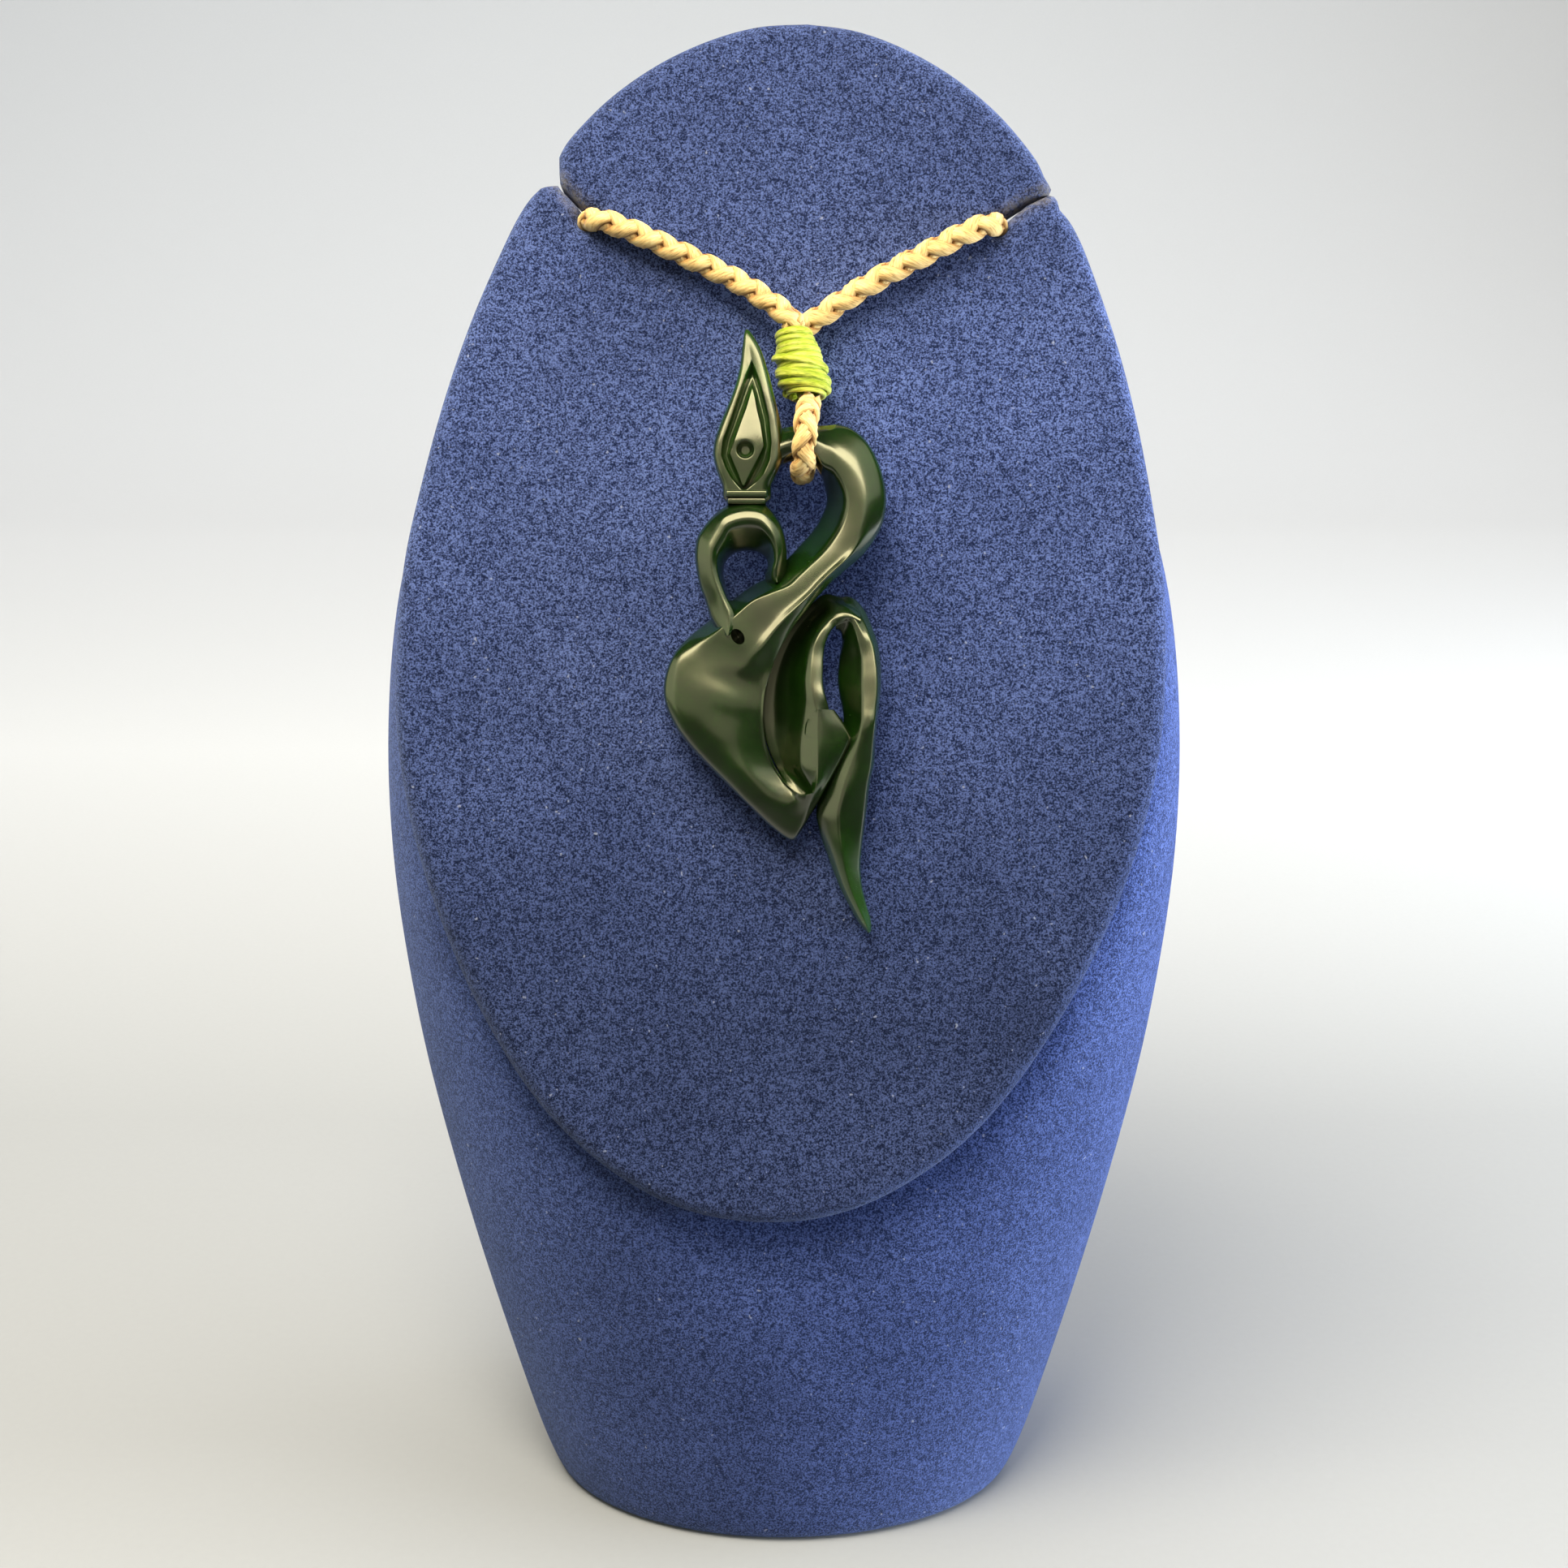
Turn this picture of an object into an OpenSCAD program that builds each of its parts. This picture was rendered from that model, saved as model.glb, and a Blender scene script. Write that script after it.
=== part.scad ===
// Carved jade manaia on a plaited cord, hung over the padded face of a small velvet neck bust.
// Millimetres, +Z up, the viewer looks along +Y. The origin is the middle of the bust's foot, on the table.

/* [Display bust] */
// Height of the whole bust at the top of its neck
bust_h = 190; // [189:0.5:191]
// Half width of the body where it is widest
body_half_w = 52; // [51:0.5:53]
// Where the body's flat back lies behind the middle of the foot
back_y = 25; // [25:0.5:28]
// How far the padded face leans back from the vertical, in degrees
face_lean = 17; // [16.5:0.5:17.5]
// Thickness of the padded face
face_t = 4; // [3.5:0.25:4]
// Clockwise turn of the face on the body, as it was glued, in degrees
face_turn = 2.4; // [0:0.2:3]

/* [Cord and binding] */
// Thickness of the plaited cord
cord_d = 3.2; // [3:0.1:3.3]
// Width of the slit beside the neck that the cord goes through
slit_w = 4; // [3.8:0.1:4.4]
// Width of the thread binding at its middle
binding_w = 5; // [4.6:0.1:5.2]
// Depth of the thread binding from front to back at its middle
binding_depth = 6.2; // [6:0.1:6.3]
// Thickness of the plain knot that closes the cord behind the bust
knot_d = 5.4; // [4:0.2:5.6]
// Length of that knot
knot_len = 9; // [8:0.5:10]

/* [Pendant] */
// Height of the carving from the tip of its head to the tip of its tail
pendant_h = 72.5; // [70:0.5:73]
// How far the cord behind the carving lifts it off the face at the eye
pendant_lift = 3.2; // [3.2:0.1:3.6]
// Tilt that lets the tail rest against the face, in degrees
pendant_tilt = 3.3; // [2.8:0.1:3.4]

/* [Hidden] */

VELVET = [0.16, 0.20, 0.42];
TAN = [0.84, 0.66, 0.38];
LIME = [0.55, 0.68, 0.16];
JADE = [0.08, 0.22, 0.06];

drawn_h = 74.4;
face_origin = [0, -11, bust_h - 90];
face_middle = [-0.5, 12.1];
cord_sides = 8;
eye_at = [1.4, 31.7];

// A point on the face: u to the right, v up the slope, w out towards the viewer.
function on_face(p) = face_origin + [
    p[0],
    p[1] * sin(face_lean) - p[2] * cos(face_lean),
    p[1] * cos(face_lean) + p[2] * sin(face_lean)];

module face_frame() { translate(face_origin) rotate([90 - face_lean, 0, 0]) children(); }

function mix(a, b, f) = a * (1 - f) + b * f;
function row_at(rows, s) =
    let (i = min(floor(s), len(rows) - 2)) mix(rows[i], rows[i + 1], s - i);

// A closed solid through rings with the same number of points, each clockwise seen along the way they go.
module loft(rings) {
    n = len(rings[0]);
    last = len(rings) - 1;
    polyhedron(
        points = [for (ring = rings) for (p = ring) p],
        faces = concat(
            [[for (i = [0:n - 1]) i]],
            [for (r = [0:last - 1]) for (i = [0:n - 1])
                let (j = (i + 1) % n) each [
                    [r * n + i, (r + 1) * n + j, r * n + j],
                    [r * n + i, (r + 1) * n + i, (r + 1) * n + j]]],
            [[for (i = [n - 1:-1:0]) last * n + i]]));
}

// Bust body: one D-shaped section for each row, cut off at the back of the padded face.
// height, half width, middle in Y, front in Y
BODY = [
    [0, 30.6, -3, -23.2],
    [1.5, 32, -3, -24.4],
    [12, 35.6, -2.6, -25],
    [24, 39.2, -1.4, -25],
    [36, 42.6, 0, -24.6],
    [48, 45.6, 1.2, -24],
    [60, 48.3, 2.4, -23.6],
    [72, 50.2, 3.8, -23.2],
    [84, 51.6, 5, -23],
    [96, 52, 6.4, -22],
    [106, 51.6, 7.6, -21],
    [116, 50.6, 8.8, -19.6],
    [125, 48.8, 10, -17.4],
    [133, 46, 11.4, -13],
    [140, 42.2, 12.8, -8],
    [147, 36.8, 14.2, -3],
    [153, 30.6, 15.6, 2],
    [158, 25.2, 17, 6],
    [163, 21.6, 18, 9],
    [170, 20, 19, 12],
    [178, 18.2, 20, 15],
    [184, 14.6, 21.4, 18],
    [187.5, 9, 22.6, 20]];
BODY_SIDES = 40;
body_scale = body_half_w / 52;

// Sharper corners at the flat back than at the round front.
function body_ring(row) =
    let (
        stop_y = face_origin[1] + (row[0] - face_origin[2]) * tan(face_lean) + face_t / cos(face_lean) + 0.3,
        w = row[1] * body_scale, mid = max(row[2], stop_y + 1), front = row[3])
    [for (i = [0:BODY_SIDES - 1])
        let (
            a = 360 * i / BODY_SIDES,
            sx = sign(cos(a)), sy = sin(a),
            x = w * sx * pow(abs(cos(a)), sy > 0 ? 0.5 : 1),
            y = sy > 0 ? mid + (back_y - mid) * pow(sy, 0.5) : mid + (mid - front) * sy)
        [x, max(y, stop_y), row[0] * bust_h / 190]];

module bust_body() {
    color(VELVET) loft([for (row = BODY) body_ring(row)]);
}

// Outline of the padded face, half of it, from the chin up: height over its middle, half width.
FACE = [
    [-66.5, 0], [-66, 6], [-64.2, 12.2], [-61, 18.2], [-56.4, 24.2], [-51, 29.2], [-44, 34], [-36, 38.4],
    [-26, 42.7], [-16, 45.7], [-6, 47.4], [4, 47.7], [14, 47.1], [24, 45.3], [34, 43], [44, 40], [54, 36.1],
    [58.4, 33.9], [60.6, 32.3], [61.4, 30.6], [64, 30.2], [67, 28.6], [72, 24], [76.4, 18.2], [79.6, 12],
    [81.5, 6], [82.1, 0]];
// Where the cord goes back through each slit, and where the slit leaves the outline
SLIT_LEFT = [[-23.6, 69.4], [-29.6, 74]];
SLIT_RIGHT = [[25.8, 68.8], [32.6, 73.4]];

module slit(ends) {
    run = ends[1] - ends[0];
    translate(ends[0]) {
        circle(d = slit_w, $fn = 32);
        rotate(atan2(run[1], run[0])) translate([0, -slit_w / 2]) square([norm(run) + 4, slit_w]);
    }
}

module face_panel() {
    color(VELVET) face_frame() translate([0, 0, -face_t]) linear_extrude(face_t)
        difference() {
            translate(face_middle) rotate(-face_turn) polygon(concat(
                [for (p = FACE) [p[1], p[0]]],
                [for (i = [len(FACE) - 2:-1:1]) [-FACE[i][1], FACE[i][0]]]));
            slit(SLIT_LEFT);
            slit(SLIT_RIGHT);
        }
}

// Cord routes. The stretches on the face are written in the face's own u, v and w.
LEFT_FRONT = [
    [1.1, 55, 5.2], [0.7, 56.4, 5], [-1.4, 58.2, 4.1], [-4, 60.2, 3.1], [-7, 62.1, 2.3], [-11, 64.1, 2],
    [-15.6, 66.3, 2], [-19.6, 68, 2], [-22.2, 69, 1.5], [-23.8, 69.5, 0.1], [-24.2, 69.6, -2], [-24.2, 69.6, -4.2]];
RIGHT_FRONT = [
    [2.2, 55.8, 1.9], [3.7, 56.7, 1.9], [6, 58.3, 1.9], [9, 60.3, 1.9], [13, 62.6, 2], [17.4, 64.9, 2],
    [21.4, 67, 2], [24.2, 68.3, 1.6], [26, 68.9, 0.2], [26.4, 69, -2], [26.4, 69, -4.2]];
// Behind the bust: x, distance behind the body's flat back, z. Over the shoulder, then down and round to the knot.
LEFT_BACK = [
    [-24.3, -7.5, 164.4], [-24.4, -4, 163.9], [-24.4, -0.7, 162.4], [-24.4, 1.4, 159.2], [-24.4, 1.9, 155],
    [-24.2, 1.9, 142], [-24, 1.9, 124], [-23.6, 1.9, 104], [-23, 1.9, 84], [-22.2, 1.9, 64],
    [-21, 1.9, 46], [-19.6, 2, 34], [-17, 2.2, 25], [-13.4, 2.6, 19], [-9, 3, 15.6], [-7, 3, 15.3], [-4.5, 3, 15.3]];
RIGHT_BACK = [
    [26.4, -7.5, 163.6], [26.2, -4, 163.2], [26, -0.7, 162], [25.8, 1.4, 159], [25.6, 1.9, 154.6],
    [25.2, 1.9, 142], [24.8, 1.9, 124], [24.2, 1.9, 104], [23.4, 1.9, 84], [22.4, 1.9, 64],
    [21.2, 1.9, 46], [19.6, 2, 34], [17, 2.2, 25], [13.4, 2.6, 19], [9, 3, 15.6], [7, 3, 15.3], [4.5, 3, 15.3]];
// The loop through the pendant's eye: down over the front of the arch, through, and up behind it.
LOOP = [
    [2.95, 46.5, 5.1], [3, 45.9, 5.3], [2.9, 45.1, 6.3], [2.8, 44.2, 7.8], [2.6, 43, 9.2], [2.5, 41.4, 9.8], [2.4, 39.8, 9.4],
    [2.3, 38.4, 8.4], [2.2, 37.7, 6.9], [2.2, 37.5, 5.2], [2.3, 37.8, 3.6], [2.4, 38.8, 2.3], [2.5, 40.4, 1.7],
    [2.6, 42.4, 1.7], [2.8, 44.6, 1.8], [2.95, 46.5, 1.8]];

function unit(v) = v / norm(v);
// Rings square to the route, turned along with it so that the sides never twist.
function turned(side, along) = unit(side - along * (side * along));
function rings_from(route, side, i) =
    let (
        last = len(route) - 1,
        along = unit(route[min(i + 1, last)] - route[max(i - 1, 0)]),
        s = turned(side, along), t = cross(along, s),
        ring = [for (k = [0:cord_sides - 1]) let (a = 360 * k / cord_sides)
            route[i] + cord_d / 2 * (s * cos(a) + t * sin(a))])
    i == last ? [ring] : concat([ring], rings_from(route, s, i + 1));

module cord(route, side) { color(TAN) loft(rings_from(route, side, 0)); }

function behind(p) = p + [0, back_y, 0];
module run(front, back) { cord(concat([for (p = front) on_face(p)], [for (p = back) behind(p)]), [0, 0, 1]); }
module cord_left() { run(LEFT_FRONT, LEFT_BACK); }
module cord_right() { run(RIGHT_FRONT, RIGHT_BACK); }
module pendant_loop() { cord([for (p = LOOP) on_face(p)], [1, 0, 0]); }

// Binding: oval rings square to its own leaning axis, from the top down.
BINDING_TOP = [1.1, 54.9, 3.5];
BINDING_FOOT = [2.95, 46.7, 3.45];
// share of the length, share of the full width, share of the full depth
BINDING = [
    [0, 0.7, 0.96], [0.08, 0.78, 0.98], [0.25, 0.9, 1], [0.5, 1, 1], [0.75, 1, 1], [0.9, 0.86, 0.98], [1, 0.68, 0.95]];
BINDING_SIDES = 24;

module whipping() {
    axis = unit(BINDING_FOOT - BINDING_TOP);
    across = unit(cross([0, 0, 1], axis));
    color(LIME) face_frame() loft([for (row = BINDING)
        [for (k = [0:BINDING_SIDES - 1]) let (a = 360 * k / BINDING_SIDES)
            mix(BINDING_TOP, BINDING_FOOT, row[0])
            + across * cos(a) * row[1] * binding_w / 2
            + [0, 0, 1] * sin(a) * row[2] * binding_depth / 2]]);
}

module cord_knot() {
    color(TAN) translate([-knot_len / 2, back_y + 3, 15.3]) rotate([0, 90, 0]) cylinder(d = knot_d, h = knot_len, $fn = 48);
}

// The carving is drawn a little larger than life, flat on its back, with the middle of its eye at 0, 0.
// A ribbon row gives its two edges and a place in the ribbon's own profiles:
// outer u, outer v, inner u, inner v, profile
// A profile is: height of the outer edge, first crest's place and height, second crest's place and
// height, inner front edge's place and height. Places go from 0 at the outer edge to 1 at the inner one.
function ribbon_ring(row, profiles) =
    let (
        p = [row[0], row[1]], q = [row[2], row[3]], f = row_at(profiles, row[4]),
        at = [[0, 0], [0, f[0]], [f[1], f[2]], [f[3], f[4]], [f[5], f[6]], [1, 0.6], [1, 0]])
    [for (a = at) let (c = mix(p, q, a[0])) [c[0], c[1], a[1]]];

module ribbon(rows, profiles) { loft([for (row = rows) ribbon_ring(row, profiles)]); }

// Arch, neck, wing and the corner beside the loop
SPINE_PROFILES = [
    [2.4, 0.35, 3.7, 0.55, 3.7, 0.85, 3],
    [2.8, 0.28, 5.8, 0.42, 5.9, 0.64, 4.7],
    [5.2, 0.1, 6.1, 0.26, 6.1, 0.52, 5.1],
    [5.6, 0.14, 5.5, 0.32, 5.7, 0.8, 4.6],
    [5.6, 0.24, 4.9, 0.55, 5.4, 0.93, 2.8],
    [5.2, 0.22, 4.4, 0.5, 4.2, 0.93, 2.6],
    [4.8, 0.2, 4.3, 0.5, 3.7, 0.94, 2.2],
    [5.5, 0.3, 5.1, 0.75, 4.9, 0.94, 5.5]];
SPINE = [
    [-2.2, 11.4, -2.2, 6.6, 0], [-0.6, 11.7, -0.6, 7.6, 0], [1, 11.8, 1, 8, 0], [2.6, 11.8, 2.3, 7.3, 0],
    [4, 11.85, 3, 6, 0.3], [5.3, 11.9, 3.4, 5.2, 0.5],
    [7.1, 11.2, 3.6, 4.5, 0.8], [9, 9.4, 3.8, 3.7, 1], [10.4, 6.5, 3.9, 2.9, 1], [11.1, 3.2, 3.8, 2.2, 1],
    [10.8, 0.2, 3.4, 1.2, 1.1], [9.8, -2, 2.7, -0.2, 1.2], [8.3, -4, 1.6, -1.6, 1.5], [6.7, -5.4, 0.4, -2.9, 1.8],
    [5.3, -6.6, -0.8, -4.2, 2], [3.8, -8, -2, -5.5, 2], [2.5, -9.4, -3.2, -6.6, 2.2], [1.2, -11, -5, -7.5, 2.6],
    [-0.1, -12.6, -6.8, -8.7, 3], [-1.4, -14.6, -8.7, -10.2, 3.2], [-2.4, -16.6, -10.8, -12.1, 3.6],
    [-3.2, -18.8, -13.2, -14.1, 4], [-3.8, -21, -15.1, -16.3, 4], [-4, -23.2, -16.2, -19.2, 4],
    [-4, -25.2, -16.2, -22, 4.1], [-3.7, -27.2, -15.1, -24.8, 4.3], [-3.1, -29, -13.5, -27.2, 4.6],
    [-2.2, -30.8, -11.2, -29.7, 4.9], [-1.2, -32.2, -8.6, -32.3, 5.2], [-0.3, -33, -5.8, -35.1, 5.6],
    [0.4, -33.4, -3.2, -37.6, 5.9], [1, -33.5, -0.6, -39.4, 6], [1.6, -33.4, 0.6, -38.4, 6],
    [2.1, -33.2, 2, -36, 6.2], [2.5, -32.6, 3.6, -33, 6.5], [2.8, -31, 5, -30.6, 6.8], [2.8, -28.5, 6.1, -28.6, 7],
    [2.8, -26, 6.8, -26.7, 7], [2.8, -24, 6, -24.9, 7], [3, -22.8, 4.8, -23.1, 7]];

// Right wall of the hollow, and the raised rim that runs up and over the loop
RIM_PROFILES = [
    [1.4, 0.4, 4.6, 0.7, 5.3, 0.96, 5.6],
    [1.4, 0.46, 5.2, 0.6, 5.5, 0.94, 5.4],
    [3, 0.4, 5, 0.7, 5.3, 0.94, 5.1]];
RIM = [
    [-0.5, -31.8, 2.8, -32.2, 0], [-1.5, -30, 3, -30, 0], [-1.4, -28, 3.1, -27.5, 0], [-1, -25.5, 3.2, -25, 0.2],
    [-0.8, -22.8, 3.9, -21.8, 0.8], [-0.6, -20.2, 3.5, -19.6, 1], [-0.1, -17.6, 3.4, -17.8, 1],
    [0.6, -15.2, 3.8, -15.7, 1], [1.6, -13, 4.3, -13.8, 1], [2.8, -11.7, 5, -12.8, 1.2], [4.4, -10.4, 5.9, -12, 1.5],
    [6.4, -9.6, 6.9, -11.7, 1.8], [8.2, -10.6, 7.9, -12, 2], [9.4, -12.8, 8.7, -12.9, 2], [10.1, -14.8, 9.4, -14.5, 2]];

// Right arm of the loop, and the tail that runs down from it behind the corner
TAIL_PROFILES = [
    [2.5, 0.3, 3.2, 0.6, 3.4, 0.75, 3],
    [3, 0.12, 3.7, 0.36, 4.8, 0.5, 4.4],
    [3, 0.1, 3.8, 0.28, 5, 0.52, 4],
    [2.8, 0.08, 3.5, 0.45, 4, 0.9, 2.6],
    [1.4, 0.1, 1.8, 0.45, 2.2, 0.9, 1.3]];
TAIL = [
    [4.8, -9.8, 5, -13.2, 0], [6.2, -9, 5.6, -13.5, 0.6], [7.5, -9.5, 5.8, -14.5, 1], [8.7, -11, 5.7, -15.5, 1.2],
    [9.6, -13.2, 5.5, -16.5, 1.5], [10.2, -15, 5.4, -17.5, 1.8], [10.5, -17, 5.3, -18.6, 2], [10.6, -19, 5.3, -19.8, 2],
    [10.5, -21, 5.5, -21.3, 2], [10.3, -22.8, 5.8, -22.8, 2.1], [10.1, -24.8, 6, -24.5, 2.3],
    [9.9, -27, 5.6, -26.5, 2.6], [9.7, -29.8, 4.6, -29.5, 3], [9.2, -32.5, 3.4, -32.5, 3], [8.9, -35, 2.6, -35.8, 3],
    [8.6, -37.5, 2.9, -38, 3.1], [8.3, -40, 3.7, -40.5, 3.2], [8.2, -42.5, 4.6, -43, 3.4], [8.3, -45, 5.8, -45.7, 3.6],
    [8.8, -47.3, 6.8, -48, 3.8], [9.4, -49.3, 7.8, -49.8, 4], [9.6, -50.5, 8.8, -50.7, 4]];

// Crescent beak, from its left tip over the top to its right tip
BEAK_PROFILES = [
    [3.2, 0.3, 5, 0.6, 5.1, 0.9, 4.2],
    [2.8, 0.2, 4.7, 0.68, 5.2, 0.86, 4.9],
    [2.8, 0.17, 5.2, 0.36, 5.3, 0.5, 4.4],
    [2.8, 0.14, 5, 0.32, 5.2, 0.66, 4.4],
    [2.8, 0.2, 4.4, 0.4, 4.8, 0.7, 4.2]];
BEAK = [
    [-8.7, -13.8, -7.7, -13.6, 0], [-9.4, -13, -7.1, -12.2, 0.2], [-10.3, -11.7, -7.2, -10.8, 0.6],
    [-11.1, -9.8, -8, -9.3, 1], [-11.8, -7.9, -8.5, -8.1, 1], [-12.2, -6, -8.9, -6.7, 1], [-12.4, -4.1, -8.9, -5.5, 1.2],
    [-12.2, -2.2, -8.6, -4.7, 1.5], [-11.6, -1, -8.1, -4.1, 1.7], [-10.6, 0.3, -7.5, -3.7, 1.9],
    [-9.4, 1.4, -6.9, -3.5, 2], [-8, 2.2, -6.3, -3.4, 2], [-6, 2.6, -5.7, -3.4, 2], [-4, 2.3, -5, -3.5, 2.1],
    [-2.8, 1.2, -4.4, -3.7, 2.3], [-1.9, -0.1, -3.8, -4.2, 2.6], [-1.4, -1.5, -3.5, -4.8, 2.9],
    [-1.1, -3.1, -3.5, -5.6, 3], [-1.1, -4.8, -3.8, -6.5, 3.3], [-1.2, -6.2, -3.6, -7.3, 3.7], [-1.7, -7.2, -2.9, -7.7, 4]];

// Head, clockwise from its tip, each row at one bearing from the eye:
// outline u, v, outer edge of the carved kite u, v, edge of the raised kite inside it u, v
HEAD = [
    [-6, 23.4, -5.4, 19.3, -5.3, 16.2], [-3.9, 20.7, -4.9, 18.5, -5.2, 15.8], [-3.2, 18.2, -4.4, 17, -5, 15.2],
    [-2.5, 15.5, -3.9, 15.3, -4.8, 14], [-1.8, 12.9, -3.4, 13, -4.5, 12.6], [-1.4, 10, -3, 10.2, -4.1, 10.2],
    [-1.5, 7.8, -2.9, 8.5, -3.9, 9], [-2.2, 5.9, -3.4, 6.9, -4.5, 7.4], [-3, 4.4, -4.3, 5.2, -5.4, 5.6],
    [-3.5, 2.4, -5.8, 4, -6.2, 4.4], [-8.4, 2.4, -6.6, 4, -6.5, 4.3], [-8.9, 4.3, -7.8, 5.1, -7.2, 5.8],
    [-9.7, 6.2, -8.6, 6.5, -7.6, 7], [-10.1, 8.2, -9.1, 8, -8, 8.2], [-9.9, 9.9, -8.9, 9.9, -7.4, 10],
    [-9.2, 12, -8.1, 12, -6.7, 12], [-8.2, 14.4, -7.3, 14.2, -6, 14], [-7.3, 16.6, -6.6, 16.2, -5.7, 15],
    [-6.7, 19, -6, 18, -5.45, 15.7], [-6.5, 21.5, -5.6, 18.9, -5.35, 16.1]];
HEAD_EYE = [-6.15, 8.9];
HEAD_EDGE_H = 2.6;
HEAD_CREST_H = 4.9;
HEAD_RIM_H = 4.7;
HEAD_GROOVE_H = 3.4;
HEAD_KITE_H = 4.6;
HEAD_TOP_H = 4.9;
EYE_R = 1.05;
EYE_DRILL_R = 0.6;
EYE_DEPTH = 1.4;

HEAD_ROWS = [for (i = [len(HEAD) - 1:-1:0]) HEAD[i]];
function head_ring(from, to, share, h) = [for (row = HEAD_ROWS)
    let (p = mix([row[from], row[from + 1]], [row[to], row[to + 1]], share)) [p[0], p[1], h]];
function eye_ring(r, h) = [for (row = HEAD_ROWS)
    let (d = unit([row[4], row[5]] - HEAD_EYE)) [HEAD_EYE[0] + r * d[0], HEAD_EYE[1] + r * d[1], h]];

module head() {
    loft([
        head_ring(0, 2, 0, 0), head_ring(0, 2, 0, HEAD_EDGE_H), head_ring(0, 2, 0.5, HEAD_CREST_H),
        head_ring(0, 2, 1, HEAD_RIM_H), head_ring(2, 4, 0.5, HEAD_GROOVE_H), head_ring(2, 4, 1, HEAD_KITE_H),
        eye_ring(EYE_R, HEAD_TOP_H), eye_ring(EYE_DRILL_R, HEAD_TOP_H - 0.1),
        eye_ring(EYE_DRILL_R, HEAD_TOP_H - EYE_DEPTH)]);
}

// Two bands that tie the head to the crescent: height over the eye, half width, band height
COLLAR = [[3.3, 2.45, 4.4], [2.5, 2.35, 4]];
COLLAR_W = 0.7;
COLLAR_U = -6;

module collar() {
    for (band = COLLAR)
        translate([COLLAR_U - band[1], band[0] - COLLAR_W / 2, 0]) cube([band[1] * 2, COLLAR_W, band[2]]);
}

// Floor of the hollow between the wing's edge and the inner wall
HOLLOW = [
    [6.8, -9.4], [5.2, -7.2], [2, -10.6], [-1, -13.6], [-3.2, -17], [-4.4, -21], [-4.6, -25], [-3.8, -29],
    [-1.6, -33], [1, -34], [1.8, -30], [1.8, -20], [2.4, -15], [4.4, -12.4], [6.2, -12]];
HOLLOW_FLOOR = 1.4;
// The drilled pit at the crescent's left tip
PIT_AT = [-7.1, -13.5];
PIT_FLOOR = 1.5;

module manaia() {
    color(JADE) face_frame() translate([eye_at[0], eye_at[1], pendant_lift]) rotate([pendant_tilt, 0, 0])
        resize([0, pendant_h, 0], auto = true) difference() {
            union() {
                ribbon(SPINE, SPINE_PROFILES);
                ribbon(RIM, RIM_PROFILES);
                ribbon(TAIL, TAIL_PROFILES);
                ribbon(BEAK, BEAK_PROFILES);
                head();
                collar();
                linear_extrude(HOLLOW_FLOOR) polygon(HOLLOW);
            }
            translate([PIT_AT[0], PIT_AT[1], PIT_FLOOR]) scale([0.5, 1.4, 1]) cylinder(r = 1, h = 5, $fn = 16);
        }
}

bust_body();
face_panel();
cord_left();
cord_right();
pendant_loop();
whipping();
cord_knot();
manaia();
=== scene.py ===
"""Looks for a carved jade manaia on a plaited cord, hung over the padded face of a velvet neck bust.

Every class makes one sub-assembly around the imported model. Tables are in millimetres, pieces in metres.
"""
import logging
import math
import random
from dataclasses import dataclass, field
from enum import Enum
from typing import Iterable, Sequence

import bmesh
import bpy
from mathutils import Matrix, Vector, geometry, kdtree, noise


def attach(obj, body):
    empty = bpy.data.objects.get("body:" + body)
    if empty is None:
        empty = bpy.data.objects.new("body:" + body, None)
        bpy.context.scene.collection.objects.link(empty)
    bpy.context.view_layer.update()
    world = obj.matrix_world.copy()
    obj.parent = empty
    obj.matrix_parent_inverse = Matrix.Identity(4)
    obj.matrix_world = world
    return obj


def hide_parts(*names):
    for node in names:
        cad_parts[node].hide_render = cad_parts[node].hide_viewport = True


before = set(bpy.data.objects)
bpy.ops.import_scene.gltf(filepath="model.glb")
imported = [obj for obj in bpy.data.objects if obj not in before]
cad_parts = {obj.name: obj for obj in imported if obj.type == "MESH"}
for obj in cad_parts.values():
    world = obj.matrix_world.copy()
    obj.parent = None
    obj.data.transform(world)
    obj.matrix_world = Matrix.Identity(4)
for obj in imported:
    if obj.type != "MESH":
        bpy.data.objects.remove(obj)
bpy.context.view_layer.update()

log = logging.getLogger("neck_bust")
Point = Sequence[float]
Colour = tuple[float, float, float]
Ring = list[Vector]
Verts = list[bmesh.types.BMVert]
Mesh = bmesh.types.BMesh
Object = bpy.types.Object
Material = bpy.types.Material
Socket = bpy.types.NodeSocket

MM = 0.001
TURN = 2 * math.pi
FACE_LEAN = math.radians(17)
FACE_TURN = math.radians(2.4)
FACE_ORIGIN = Vector((0, -11, 100))
FACE_MIDDLE = Vector((-0.5, 12.1))
BACK_Y = 25.0
MILLIMETRES = Matrix.Scale(MM, 4)
FACE = MILLIMETRES @ Matrix.Translation(FACE_ORIGIN) @ Matrix.Rotation(math.pi / 2 - FACE_LEAN, 4, "X")


class Slot(Enum):
    """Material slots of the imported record."""

    VELVET = "velvet"
    PADDED_VELVET = "padded_velvet"
    CORD = "plaited_cord"
    KNOT = "cord_knot"
    THREAD = "waxed_thread"
    JADE = "jade"


class Way(Enum):
    """Which way a strand winds as it goes along its cord."""

    LEFT = -1
    RIGHT = 1


# Mesh tools


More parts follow.
